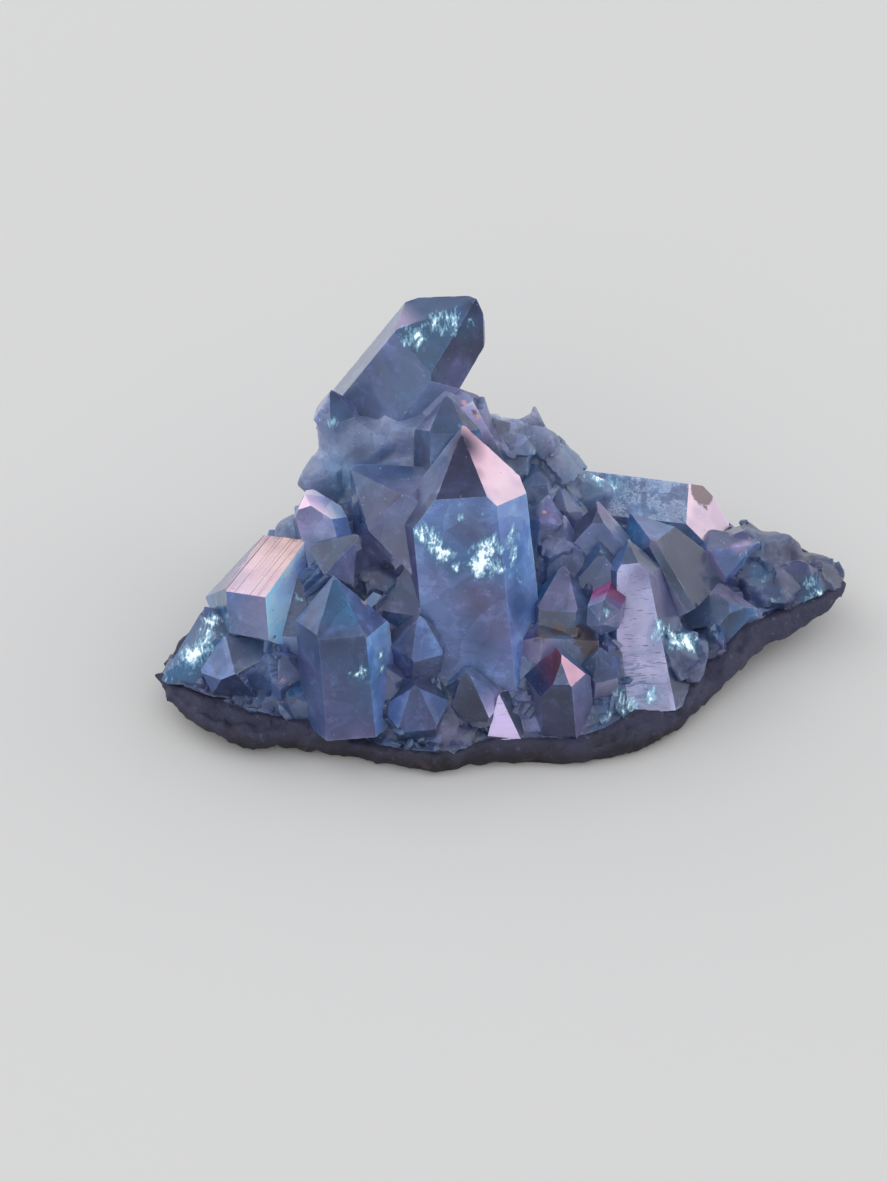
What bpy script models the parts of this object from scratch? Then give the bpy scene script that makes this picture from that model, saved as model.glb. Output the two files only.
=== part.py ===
"""A cluster of aura-coated quartz points on a thin rind of matrix rock.

Frame: metres, +Z up. The origin is on the flat underside that the specimen rests on, +X runs along its
long side and -Y is the front. Tables are in millimetres and degrees.
"""

import math
import random

import bmesh
import bpy
from mathutils import Quaternion, Vector, noise
from mathutils.geometry import intersect_point_line

MM = 0.001
FRONT = Vector((0.0, -1.0, 0.0))

# Quartz: a tip face leans this far from the crystal's long axis.
TIP_FACE_LEAN = math.radians(38.2)
SIDES = 6
# Every second tip face (the z faces) stands off by this share of the width, so that it grows smaller.
SMALL_FACE_STAND_OFF = 0.05
# Side faces close in towards the tip by this much, which is natural and keeps faces from being coplanar.
SIDE_TAPER = math.radians(1.0)
BAR_REACH = 60.0

# Gap between the crystals and the rock they sit on.
SEAT_GAP = 0.35

# The points that show, as foot and tip (mm), width across the flats, turn about the axis (degrees; 0 sets
# side face 0 square to the front), and then, where the growth was uneven, the reach of the six side faces
# (1 = half the width) and how far the six tip faces are set back from the tip (mm, or past it if negative).
# Face 0 is the front one and the count runs anticlockwise as seen from the tip: 1 is front right, 5 is
# front left. Where the sides close in faster than usual, the taper says by how many degrees.
POINTS = {
    # the back row, from left to right
    "tall": dict(
        foot=(-12.9, 11.2, 14.0), tip=(-3.0, 11.0, 29.1), width=7.4, turn=-40,
        sides=(0.91, 1.16, 0.98, 0.69, 1.26, 1.00), caps=(1.5, 0.8, -1.4, -1.3, -1.2, 0.9),
    ),
    "tall_side": dict(foot=(-13.8, 7.0, 14.0), tip=(-14.8, 8.0, 21.9), width=3.6, turn=25),
    "shoulder_high": dict(foot=(-11.6, 7.0, 13.5), tip=(-15.4, 6.6, 19.2), width=4.2, turn=10),
    "shoulder_low": dict(foot=(-11.0, 6.0, 12.0), tip=(-15.9, 5.4, 17.2), width=4.4, turn=35),
    "behind_tall": dict(foot=(-4.9, 0.5, 13.0), tip=(-4.9, 6.5, 22.4), width=5.0, turn=0),
    "dark_ridge": dict(foot=(0.5, 4.0, 14.0), tip=(-4.2, 8.3, 21.9), width=2.6, turn=20),
    "ridge_block": dict(foot=(0.0, 4.0, 10.0), tip=(0.6, 8.0, 19.3), width=4.4, turn=10),
    "ridge_knob": dict(foot=(1.5, 4.5, 12.0), tip=(2.6, 9.3, 19.2), width=2.6, turn=10),
    "ridge_high": dict(foot=(2.5, 5.0, 10.5), tip=(4.0, 8.6, 16.6), width=3.4, turn=30),
    "ridge_middle": dict(foot=(4.0, 5.0, 9.0), tip=(5.9, 8.2, 14.3), width=3.8, turn=5),
    "ridge_low": dict(foot=(5.5, 5.5, 7.5), tip=(7.6, 8.4, 12.4), width=3.4, turn=45),
    "ridge_front": dict(foot=(2.6, 1.5, 9.5), tip=(2.0, 6.0, 16.0), width=3.6, turn=20),
    "ridge_corner": dict(foot=(4.5, 1.0, 8.5), tip=(4.8, 4.8, 14.2), width=3.6, turn=50),
    # the far side
    "back_high": dict(foot=(-6.0, 8.0, 5.0), tip=(-4.5, 13.6, 14.0), width=6.0, turn=15),
    "back_left": dict(foot=(-12.0, 8.0, 4.0), tip=(-15.5, 12.6, 9.6), width=5.4, turn=40),
    "back_low": dict(foot=(-8.0, 8.0, 3.0), tip=(-10.0, 15.2, 8.8), width=5.0, turn=0),
    "back_middle": dict(foot=(0.0, 7.0, 4.0), tip=(0.8, 14.8, 9.6), width=5.6, turn=25),
    "back_right": dict(foot=(6.0, 7.0, 3.0), tip=(8.0, 14.6, 6.8), width=4.8, turn=10),
    "back_right_low": dict(foot=(13.0, 7.0, 3.0), tip=(16.4, 12.4, 6.4), width=4.6, turn=50),
    "back_end": dict(foot=(-16.0, 3.0, 3.0), tip=(-20.6, 7.0, 7.4), width=5.4, turn=20),
    # the middle
    "centre": dict(
        foot=(-2.0, -7.7, 3.2), tip=(-4.1, 1.0, 22.9), width=9.7, turn=-5,
        sides=(0.90, 1.05, 0.91, 1.03, 0.96, 1.14), caps=(-0.6, -0.7, -1.1, -0.5, 0.2, 0.2),
    ),
    "left_of_centre": dict(
        foot=(-4.8, -2.6, 11.5), tip=(-13.0, 2.0, 18.2), width=8.0, turn=22,
        caps=(-0.5, 0.0, -0.7, -0.4, 0.0, -0.4),
    ),
    "violet_face": dict(
        foot=(-14.3, -4.1, 11.2), tip=(-16.5, 1.6, 16.6), width=4.1, turn=-3,
        sides=(0.89, 1.13, 0.97, 0.97, 0.97, 1.06), caps=(-0.3, 0.7, 0.0, -0.2, 0.0, -0.3),
    ),
    # the left flank
    "striped": dict(
        foot=(-16.7, -5.0, 9.6), tip=(-25.8, 0.7, 6.6), width=9.2, turn=87,
        sides=(0.90, 0.96, 0.98, 0.98, 0.98, 1.19), caps=(1.3, 0.9, -1.1, -2.5, -2.1, -0.1),
    ),
    "left_end": dict(foot=(-20.0, -4.0, 3.5), tip=(-29.2, -8.4, 3.4), width=8.0, turn=35),
    "kite": dict(foot=(-19.0, -5.0, 3.0), tip=(-23.4, -6.2, 9.4), width=5.6, turn=35),
    "teal_left": dict(foot=(-21.0, -5.5, 2.0), tip=(-25.6, -4.2, 8.0), width=5.0, turn=10),
    "grey_left": dict(foot=(-17.0, -7.0, 3.0), tip=(-17.6, -5.0, 12.0), width=6.4, turn=-10),
    "mauve_left": dict(foot=(-13.5, -4.5, 5.0), tip=(-15.4, -1.2, 13.4), width=6.6, turn=12),
    "left_strip": dict(foot=(-18.6, -9.0, 2.5), tip=(-18.8, -11.0, 8.6), width=3.6, turn=25),
    "round_front": dict(
        foot=(-22.0, -6.9, 3.6), tip=(-22.6, -12.8, 7.2), width=6.0, turn=-12,
        caps=(1.0, 0.6, -1.3, -0.3, 0.0, -0.3),
    ),
    # the front row, from left to right
    "front_left": dict(
        foot=(-13.0, -12.4, 2.5), tip=(-13.9, -9.0, 15.4), width=6.8, turn=3,
        caps=(-0.2, 0.0, 0.4, -0.3, -0.5, -0.5),
    ),
    "front_left_low": dict(foot=(-16.0, -10.0, 2.0), tip=(-18.2, -13.0, 5.6), width=4.0, turn=10),
    "low_front": dict(foot=(-7.6, -11.5, 1.5), tip=(-7.6, -14.0, 7.8), width=5.2, turn=5),
    "low_middle": dict(foot=(-8.0, -9.0, 3.0), tip=(-7.2, -9.6, 11.6), width=4.6, turn=25),
    "milky_middle": dict(foot=(-10.5, -8.0, 4.0), tip=(-11.2, -6.4, 11.6), width=5.0, turn=10),
    "grey_middle": dict(foot=(-8.4, -7.0, 5.0), tip=(-8.0, -5.2, 13.6), width=5.4, turn=-15),
    "blue_middle": dict(foot=(-9.8, -10.5, 2.0), tip=(-10.6, -11.6, 8.6), width=4.4, turn=0),
    "centre_foot": dict(foot=(-2.4, -10.2, 1.5), tip=(-3.4, -12.4, 7.8), width=5.6, turn=-8),
    "violet_low": dict(
        foot=(0.6, -12.3, -0.6), tip=(-0.2, -13.3, 6.4), width=4.6, turn=0,
        sides=(0.87, 1.17, 0.94, 0.94, 0.94, 1.15), caps=(1.4, 1.6, 0.0, -0.2, 0.0, 0.5),
    ),
    "dark_front": dict(
        foot=(4.7, -12.0, 1.5), tip=(4.0, -11.5, 9.8), width=5.0, turn=-6,
        sides=(1.02, 1.02, 0.93, 1.05, 1.05, 0.94), caps=(-1.2, -1.0, -0.0, -0.3, 0.0, 0.3),
    ),
    "small_clear": dict(foot=(8.8, -5.5, 9.8), tip=(7.7, -11.0, 11.8), width=2.8, turn=0),
    "long_face": dict(
        foot=(12.1, -8.5, 1.3), tip=(10.4, -2.5, 13.9), width=5.9, turn=-2,
        sides=(0.94, 1.02, 1.02, 1.02, 1.02, 0.97), caps=(-0.7, -0.3, 0.0, -0.3, 0.0, -0.4),
        taper=math.radians(10),
    ),
    # the right flank
    "slate_face": dict(
        foot=(15.5, -2.6, 6.4), tip=(10.8, 2.3, 12.9), width=6.4, turn=23,
        sides=(1.38, 0.78, 1.45, 1.02, 1.02, 0.80), caps=(-3.2, -0.3, 0.0, -0.3, 0.0, -0.3),
    ),
    "block": dict(
        foot=(16.0, -2.0, 4.8), tip=(21.6, -2.9, 6.6), width=4.7, turn=-53,
        caps=(-1.1, -0.2, 0.0, -0.2, 0.0, -0.2),
    ),
    "block_low": dict(foot=(16.0, -3.0, 2.5), tip=(18.6, -6.6, 5.6), width=4.0, turn=10),
    "sparkle": dict(foot=(13.5, -4.0, 3.5), tip=(15.0, -6.6, 7.6), width=5.0, turn=20),
    "fractured": dict(
        foot=(6.8, 8.9, 8.4), tip=(20.5, 8.0, 7.2), width=6.1, turn=-68,
        sides=(0.93, 1.07, 0.98, 0.98, 0.98, 1.03), caps=(1.0, -1.8, 0.0, -0.3, 0.0, -0.7),
    ),
    "right_small": dict(foot=(17.5, 4.5, 4.0), tip=(22.3, 4.0, 8.4), width=5.5, turn=20),
    "right_mid": dict(foot=(18.0, 4.5, 3.5), tip=(26.0, 6.0, 6.6), width=6.5, turn=0),
    "right_end": dict(foot=(21.0, 2.0, 3.0), tip=(30.0, 4.4, 4.4), width=5.8, turn=10),
    # the slope right of the centre
    "slope_top": dict(
        foot=(7.9, -2.2, 8.5), tip=(8.0, 2.1, 14.5), width=5.2, turn=0,
        sides=(0.84, 1.16, 0.96, 0.96, 0.96, 1.13), caps=(-0.9, 0.1, 0.0, -0.2, 0.0, -0.3),
    ),
    "slope_mid": dict(
        foot=(8.1, -5.4, 6.6), tip=(8.0, -1.1, 12.6), width=5.1, turn=0,
        sides=(0.89, 1.07, 0.99, 0.99, 0.99, 1.07), caps=(-1.7, -0.6, 0.0, -0.2, 0.0, -0.6),
    ),
    "slope_low": dict(foot=(4.6, -7.5, 5.5), tip=(4.9, -3.8, 12.2), width=5.4, turn=-12),
    "beside_centre": dict(foot=(2.6, -2.0, 9.0), tip=(3.6, 1.5, 15.6), width=3.4, turn=15),
    "brown_suture": dict(foot=(3.6, -3.5, 8.0), tip=(5.0, 0.5, 14.2), width=3.2, turn=40),
    "ledge": dict(foot=(7.4, -8.4, 6.8), tip=(0.2, -9.0, 7.8), width=3.8, turn=30),
    "beside_ledge": dict(foot=(7.7, -10.0, 2.0), tip=(7.8, -10.4, 8.8), width=3.6, turn=20),
}

# Rounded, half-dissolved lumps of quartz: middle and radii in mm.
LUMPS = {
    "egg": dict(middle=(-15.4, 5.0, 14.8), radii=(2.9, 2.8, 2.2)),
    "left_shoulder": dict(middle=(-17.4, 2.0, 10.9), radii=(2.9, 3.0, 2.6)),
    "ridge": dict(middle=(3.4, 6.0, 11.6), radii=(4.0, 3.6, 2.6)),
    "right_tip": dict(middle=(27.5, 4.2, 4.9), radii=(2.9, 2.6, 1.5)),
    "right_back": dict(middle=(23.4, 5.4, 6.2), radii=(2.8, 2.8, 2.4)),
    # the milky skirt round the foot of the tall point
    "tall_foot": dict(middle=(-8.2, 7.0, 17.2), radii=(4.4, 2.9, 3.4)),
    "tall_web": dict(middle=(-12.2, 6.6, 16.6), radii=(3.4, 2.8, 3.4)),
    "tall_skirt": dict(middle=(-5.8, 8.3, 19.8), radii=(2.6, 2.2, 3.0)),
    # the milky ridge, from its top down to the right
    "ridge_left": dict(middle=(-0.8, 7.2, 16.6), radii=(3.4, 2.5, 3.1)),
    "ridge_top": dict(middle=(2.0, 7.7, 16.2), radii=(2.8, 2.4, 2.9)),
    "ridge_slope": dict(middle=(4.2, 7.2, 13.6), radii=(3.1, 2.6, 3.0)),
    "ridge_foot": dict(middle=(6.6, 7.2, 11.4), radii=(2.9, 2.5, 2.7)),
    # between the large points
    "slope_fill": dict(middle=(4.9, -1.8, 9.8), radii=(3.0, 3.0, 3.2)),
    "middle_fill": dict(middle=(-11.6, -4.8, 10.2), radii=(4.0, 3.2, 3.4)),
    "left_fill": dict(middle=(-19.8, -8.4, 5.2), radii=(3.4, 2.8, 3.0)),
    "front_fill": dict(middle=(-10.6, -12.2, 3.2), radii=(2.6, 2.4, 2.8)),
    "sparkle_fill": dict(middle=(15.0, -7.6, 5.8), radii=(2.8, 2.5, 2.8)),
    "right_fill": dict(middle=(23.6, 1.6, 4.8), radii=(3.2, 2.8, 2.2)),
}
LUMP_FACETS = 2
LUMP_SWELL = 0.3
# Worn faces on each lump, and how far out they lie (1 = the lump's radius).
LUMP_CUTS = 9
LUMP_CUT_REACH = (0.66, 0.88)

# The milky quartz mass under the points: a low mound made of bumps (x, y, height, half width in x, in y).
MOUND_BASE = 2.6
MOUND_BUMPS = (
    (-10.0, 5.0, 13.0, 9.0, 7.5),
    (2.0, 5.0, 8.0, 9.0, 7.0),
    (14.0, 4.0, 4.5, 9.0, 6.0),
    (-18.0, -4.0, 4.5, 8.0, 7.0),
    (2.0, -8.0, 4.0, 14.0, 6.0),
    (-13.8, -4.2, 5.0, 4.0, 3.2),
    (3.5, -8.0, 2.5, 5.0, 3.0),
    (-7.5, -9.0, 2.0, 4.0, 3.0),
    (-9.5, -6.0, 2.8, 4.5, 3.0),
    (-18.5, -8.0, 1.8, 4.0, 3.0),
    (10.5, -10.5, 1.6, 4.0, 3.0),
    (17.5, -3.0, 2.0, 4.0, 3.5),
)

# Small points spread over the whole mass.
SMALL_TRIES = 3000
SMALL_SPACING = 2.7
SMALL_CLEARANCE = 0.6
SMALL_SEED = 5

# The rock's rim seen from above: x, y, height of its lower edge, thickness of the rind there, and how far
# out towards the rim the quartz reaches (1 = all the way).
RIM = (
    (30.3, 4.6, 3.2, 1.2, 0.97),
    (27.0, -0.4, 2.6, 1.6, 0.93),
    (23.2, -2.6, 2.0, 2.0, 0.90),
    (20.0, -6.3, 1.5, 2.2, 0.86),
    (16.6, -10.0, 0.8, 2.4, 0.84),
    (13.0, -13.4, 0.3, 2.4, 0.86),
    (7.2, -15.4, 0.0, 2.0, 0.92),
    (-0.5, -15.5, 0.0, 1.9, 0.94),
    (-6.0, -16.7, 0.0, 1.6, 0.95),
    (-13.1, -15.0, 0.1, 1.6, 0.96),
    (-17.8, -14.3, 0.4, 2.2, 0.90),
    (-22.6, -14.3, 0.6, 2.2, 0.87),
    (-26.8, -12.0, 1.2, 1.8, 0.90),
    (-29.5, -8.6, 2.0, 1.2, 0.95),
    (-28.6, -3.5, 1.6, 1.6, 0.94),
    (-24.5, 3.0, 1.4, 2.0, 0.93),
    (-18.5, 9.5, 1.2, 2.4, 0.92),
    (-8.0, 14.2, 0.8, 2.8, 0.92),
    (4.0, 15.0, 0.8, 2.8, 0.92),
    (15.0, 13.5, 1.2, 2.4, 0.92),
    (25.0, 10.0, 2.2, 1.8, 0.94),
)
RIM_STEPS = 3
ROCK_MIDDLE = Vector((-1.0, -1.5, 0.0))
ROCK_TOP = 3.6
FLAT_SHARE = 0.62
ROCK_LUMP = 0.8
ROCK_SEED = 4.0

COATED_QUARTZ = ((0.20, 0.30, 0.50), 0.12)
ROCK = ((0.16, 0.12, 0.14), 0.85)


def clear_scene():
    for thing in list(bpy.data.objects):
        bpy.data.objects.remove(thing)


def material(name, colour, roughness):
    made = bpy.data.materials.new(name)
    made.use_nodes = True
    shader = made.node_tree.nodes["Principled BSDF"]
    shader.inputs["Base Color"].default_value = (*colour, 1.0)
    shader.inputs["Roughness"].default_value = roughness
    shader.inputs["Metallic"].default_value = 0.0
    return made


def object_from(bm, name):
    mesh = bpy.data.meshes.new(name)
    bm.to_mesh(mesh)
    bm.free()
    made = bpy.data.objects.new(name, mesh)
    bpy.context.scene.collection.objects.link(made)
    return made


def smooth_step(t):
    t = min(1.0, max(0.0, t))
    return t * t * (3.0 - 2.0 * t)


# ---- one crystal ----------------------------------------------------------------------------------------


def cut_off(bm, point, normal):
    """Cuts away what lies beyond a plane and closes the cut with one flat face."""
    everything = bm.verts[:] + bm.edges[:] + bm.faces[:]
    cut = bmesh.ops.bisect_plane(
        bm, geom=everything, plane_co=point, plane_no=normal, clear_outer=True, dist=1e-7
    )
    rim = [e for e in cut["geom_cut"] if isinstance(e, bmesh.types.BMEdge)]
    if rim:
        bmesh.ops.edgeloop_fill(bm, edges=rim)


def crystal(name, foot, tip, width, turn, sides=(1,) * SIDES, caps=None, taper=SIDE_TAPER):
    """A quartz point: a six-sided bar cut to its side faces, its six tip faces and a flat root."""
    foot, tip = Vector(foot) * MM, Vector(tip) * MM
    axis = (tip - foot).normalized()
    front = (FRONT - axis * FRONT.dot(axis)).normalized()
    half = width / 2 * MM
    if caps is None:
        caps = [0.0, -SMALL_FACE_STAND_OFF * width] * (SIDES // 2)
    bm = bmesh.new()
    bmesh.ops.create_cube(bm, size=2 * BAR_REACH * MM)
    bmesh.ops.translate(bm, vec=(foot + tip) / 2, verts=bm.verts)
    cut_off(bm, foot, -axis)
    for face in range(SIDES):
        spin = Quaternion(axis, math.radians(turn) + face * math.tau / SIDES)
        outward = spin @ front
        side = outward * math.cos(taper) + axis * math.sin(taper)
        cut_off(bm, (foot + tip) / 2 + outward * half * sides[face], side)
        slope = outward * math.cos(TIP_FACE_LEAN) + axis * math.sin(TIP_FACE_LEAN)
        cut_off(bm, tip - axis * caps[face] * MM, slope)
    bmesh.ops.recalc_face_normals(bm, faces=bm.faces)
    return object_from(bm, name)


def lump(name, middle, radii):
    """A rounded lump of quartz with a few worn faces."""
    dice = random.Random(name)
    bm = bmesh.new()
    bmesh.ops.create_icosphere(bm, subdivisions=LUMP_FACETS, radius=1.0)
    for vert in bm.verts:
        swell = noise.noise(vert.co * 1.5 + Vector(middle), noise_basis="PERLIN_ORIGINAL")
        vert.co *= 1.0 + LUMP_SWELL * swell
    for _ in range(LUMP_CUTS):
        outward = Vector([dice.gauss(0, 1) for _ in range(3)]).normalized()
        cut_off(bm, outward * dice.uniform(*LUMP_CUT_REACH), outward)
    for vert in bm.verts:
        vert.co = Vector(m + r * c for m, r, c in zip(middle, radii, vert.co)) * MM
    bmesh.ops.recalc_face_normals(bm, faces=bm.faces)
    return object_from(bm, name)


# ---- the quartz mass and the rock -----------------------------------------------------------------------


def rim_loop():
    """The rim as a closed smooth curve through the RIM points, each with the same five values."""
    count = len(RIM)
    loop = []
    for i in range(count):
        a, b, c, d = (RIM[(i + k) % count] for k in (-1, 0, 1, 2))
        for step in range(RIM_STEPS):
            t = step / RIM_STEPS
            weights = (
                (-t + 2 * t**2 - t**3) / 2,
                (2 - 5 * t**2 + 3 * t**3) / 2,
                (t + 4 * t**2 - 3 * t**3) / 2,
                (-(t**2) + t**3) / 2,
            )
            loop.append(tuple(sum(w * p[k] for w, p in zip(weights, (a, b, c, d))) for k in range(5)))
    return loop[::-1]


def lumps(point, size):
    """A repeatable bump, up to about size either way, that varies over a few millimetres."""
    place = Vector(point) + Vector((ROCK_SEED, 0, 0))
    broad = noise.noise(place * 0.35, noise_basis="PERLIN_ORIGINAL")
    return size * (broad + 0.5 * noise.noise(place * 0.9, noise_basis="PERLIN_ORIGINAL"))


def ring_body(rings, bottom, top):
    """A closed body from stacked rings of points (mm), closed by a fan to a middle point at each end."""
    bm = bmesh.new()
    loops = [[bm.verts.new(Vector(p) * MM) for p in ring] for ring in rings]
    count = len(loops[0])
    for low, high in zip(loops, loops[1:]):
        for i in range(count):
            j = (i + 1) % count
            bm.faces.new((low[i], low[j], high[j], high[i]))
    for ring, middle in ((loops[0], bottom), (loops[-1], top)):
        hub = bm.verts.new(Vector(middle) * MM)
        for i in range(count):
            bm.faces.new((ring[i], ring[(i + 1) % count], hub))
    bmesh.ops.recalc_face_normals(bm, faces=bm.faces)
    return bm


def along(x, y, share):
    """The point that lies that share of the way from the rock's middle to (x, y)."""
    return ROCK_MIDDLE.x + (x - ROCK_MIDDLE.x) * share, ROCK_MIDDLE.y + (y - ROCK_MIDDLE.y) * share


def rock_rings():
    """Rings of the rock: the flat below, out under the rim, up the broken edge and in over the top."""
    rim = rim_loop()
    rings = [[(*along(x, y, FLAT_SHARE * 0.5), 0.0) for x, y, low, thick, reach in rim]]
    rings.append([(*along(x, y, FLAT_SHARE), 0.0) for x, y, low, thick, reach in rim])
    levels = ((0.84, 0.35, 0.0), (0.97, 0.9, 0.0), (1.0, 1.0, 0.45), (0.985, 1.0, 0.85), (0.93, 1.0, 1.0))
    for share, rise, up in levels:
        ring = []
        for x, y, low, thick, reach in rim:
            px, py = along(x, y, share)
            z = low * rise + thick * up
            bump = lumps((px, py, z * 2), ROCK_LUMP)
            px, py = along(x, y, share + bump * 0.03)
            ring.append((px, py, max(0.0, z + bump * 0.5 * (rise * low > 0.05))))
        rings.append(ring)
    for share in (0.7, 0.35):
        top = [(*along(x, y, share), top_height(low + thick, share)) for x, y, low, thick, reach in rim]
        rings.append(top)
    return rings


def top_height(rim_top, share):
    """Height of the rock's top between its middle and the rim."""
    return ROCK_TOP + (rim_top - ROCK_TOP) * smooth_step(share)


def matrix():
    middle = tuple(ROCK_MIDDLE)
    return object_from(ring_body(rock_rings(), middle, (middle[0], middle[1], ROCK_TOP)), "matrix")


def seat_cutter():
    """The space the rock takes up, with the seat gap all round and open below, cut from the crystals."""
    grown = []
    for ring in rock_rings()[4:]:
        grown.append([])
        for x, y, z in ring:
            out = Vector((x - ROCK_MIDDLE.x, y - ROCK_MIDDLE.y, 0)).normalized() * SEAT_GAP
            grown[-1].append((x + out.x, y + out.y, z + SEAT_GAP))
    skirt = [[(x, y, -BAR_REACH) for x, y, z in grown[0]]]
    x, y, _ = ROCK_MIDDLE
    bm = ring_body(skirt + grown, (x, y, -BAR_REACH), (x, y, ROCK_TOP + SEAT_GAP))
    cutter = object_from(bm, "seat_cutter")
    cutter.hide_render = True
    cutter.display_type = "WIRE"
    return cutter


def bump_height(x, y):
    height = MOUND_BASE
    for cx, cy, rise, wide, deep in MOUND_BUMPS:
        height += rise * math.exp(-(((x - cx) / wide) ** 2) - ((y - cy) / deep) ** 2)
    return height + lumps((x, y, 0), 0.8)


def mound_height(x, y, share, rim_point):
    """Height of the milky mass, which comes down to the rock over the last part of its reach."""
    low, thick, reach = rim_point[2:]
    rim_top = top_height(low + thick, reach) + 0.5
    return rim_top + (bump_height(x, y) - rim_top) * smooth_step((1.0 - share) * 5.0)


def mound():
    """The milky quartz mass, from below the rock's top up to the bumps, inside the rock's rim."""
    rim = rim_loop()
    rings = [[(*along(x, y, reach - 0.02), 0.5) for x, y, low, thick, reach in rim]]
    for share in (1.0, 0.96, 0.9, 0.8, 0.66, 0.5, 0.34, 0.2, 0.1):
        ring = []
        for rim_point in rim:
            x, y = along(*rim_point[:2], share * rim_point[4])
            ring.append((x, y, mound_height(x, y, share, rim_point)))
        rings.append(ring)
    x, y, _ = ROCK_MIDDLE
    return object_from(ring_body(rings, (x, y, 0.5), (x, y, bump_height(x, y))), "mound")


def ground(x, y, rim):
    """How far out (x, y) lies, 0 at the rock's middle and 1 where the quartz ends, and the height there."""
    way = Vector((x - ROCK_MIDDLE.x, y - ROCK_MIDDLE.y))
    outward = [Vector((p[0] - ROCK_MIDDLE.x, p[1] - ROCK_MIDDLE.y)).normalized() for p in rim]
    facing = [way.normalized().dot(direction) for direction in outward]
    rim_point = rim[facing.index(max(facing))]
    edge = math.dist(rim_point[:2], ROCK_MIDDLE[:2]) * rim_point[4]
    share = way.length / edge
    return share, mound_height(x, y, share, rim_point)


def clear_of_large(point):
    """Whether a small point's tip is out of the large points, so that it doesn't prick through a face."""
    for sizes in POINTS.values():
        foot, tip = Vector(sizes["foot"]), Vector(sizes["tip"])
        near, share = intersect_point_line(point, foot, tip)
        if -0.3 < share < 1.1 and (point - near).length < sizes["width"] / 2 + SMALL_CLEARANCE:
            return False
    return True


def small_points():
    """The many small points of the back, the flanks and the gaps, spread at random over the mass."""
    dice = random.Random(SMALL_SEED)
    rim = rim_loop()
    made, taken = [], []
    for _ in range(SMALL_TRIES):
        x, y = dice.uniform(-30, 30), dice.uniform(-16, 15)
        share, z = ground(x, y, rim)
        if share > 0.93 or any(math.dist((x, y), other) < SMALL_SPACING for other in taken):
            continue
        taken.append((x, y))
        step = 0.8
        slope = Vector((z - ground(x + step, y, rim)[1], z - ground(x, y + step, rim)[1], step)).normalized()
        lean = Vector((dice.gauss(0, 0.25), dice.gauss(0, 0.25), 0.4))
        axis = (slope + lean).normalized()
        behind = smooth_step((y - 3.0) / 4.0)
        stand = dice.uniform(0.7, 1.8) + behind * dice.uniform(0.3, 2.0)
        width = dice.uniform(3.6, 6.0) - behind * dice.uniform(0.0, 2.2)
        uneven = [dice.uniform(0.85, 1.15) for _ in range(SIDES)]
        surface = Vector((x, y, z))
        point = surface + axis * stand
        if ground(point.x, point.y, rim)[0] < 1.02 and clear_of_large(point):
            made.append(
                crystal("small_point", surface - axis * 2.2, point, width, dice.uniform(0, 60), sides=uneven)
            )
    return made


# ---- assembly -------------------------------------------------------------------------------------------


def keep_outer_shell(body):
    """Applies the Booleans and drops any hollow enclosed between the points, and any loose chip."""
    graph = bpy.context.evaluated_depsgraph_get()
    bm = bmesh.new()
    bm.from_object(body, graph)
    left, shells = set(bm.faces), []
    while left:
        edge, shell = [left.pop()], set()
        while edge:
            face = edge.pop()
            shell.add(face)
            near = {other for e in face.edges for other in e.link_faces} & left
            left -= near
            edge.extend(near)
        shells.append(shell)
    outer = max(shells, key=len)
    bmesh.ops.delete(bm, geom=[f for f in bm.faces if f not in outer], context="FACES")
    bm.to_mesh(body.data)
    bm.free()
    body.modifiers.clear()


def join_crystals():
    """All points and the mass between them as one solid, seated on the rock."""
    body = mound()
    body.name = "quartz_crystals"
    group = bpy.data.collections.new("points")
    bpy.context.scene.collection.children.link(group)
    group.hide_render = True
    grown = [crystal(name, **sizes) for name, sizes in POINTS.items()]
    grown += [lump(name, **sizes) for name, sizes in LUMPS.items()]
    grown += small_points()
    for point in grown:
        bpy.context.scene.collection.objects.unlink(point)
        group.objects.link(point)
        point.display_type = "WIRE"
        point.hide_render = True
    union = body.modifiers.new("grown together", "BOOLEAN")
    union.operation = "UNION"
    union.operand_type = "COLLECTION"
    union.collection = group
    union.solver = "EXACT"
    seat = body.modifiers.new("seat on the rock", "BOOLEAN")
    seat.operation = "DIFFERENCE"
    seat.object = seat_cutter()
    seat.solver = "EXACT"
    keep_outer_shell(body)
    return body


def main():
    clear_scene()
    rock = matrix()
    rock.data.materials.append(material("matrix_rock", *ROCK))
    crystals = join_crystals()
    crystals.data.materials.append(material("coated_quartz", *COATED_QUARTZ))


main()
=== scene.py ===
import math
import random

import bmesh
import bpy
import numpy as np
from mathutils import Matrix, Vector, noise
from mathutils.bvhtree import BVHTree


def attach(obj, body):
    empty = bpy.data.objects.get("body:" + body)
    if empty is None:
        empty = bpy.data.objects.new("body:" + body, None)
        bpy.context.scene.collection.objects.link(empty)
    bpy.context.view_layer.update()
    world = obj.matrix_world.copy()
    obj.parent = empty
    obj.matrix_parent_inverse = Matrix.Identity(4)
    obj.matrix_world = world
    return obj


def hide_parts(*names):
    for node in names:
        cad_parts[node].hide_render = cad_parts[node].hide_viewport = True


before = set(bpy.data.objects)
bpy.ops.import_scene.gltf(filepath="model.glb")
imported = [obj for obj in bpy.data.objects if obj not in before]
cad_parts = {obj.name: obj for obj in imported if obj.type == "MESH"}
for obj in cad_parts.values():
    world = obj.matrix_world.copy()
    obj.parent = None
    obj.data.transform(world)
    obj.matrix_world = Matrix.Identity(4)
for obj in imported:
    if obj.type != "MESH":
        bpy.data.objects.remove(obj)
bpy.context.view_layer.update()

mm = 0.001
scene = bpy.context.scene


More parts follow.
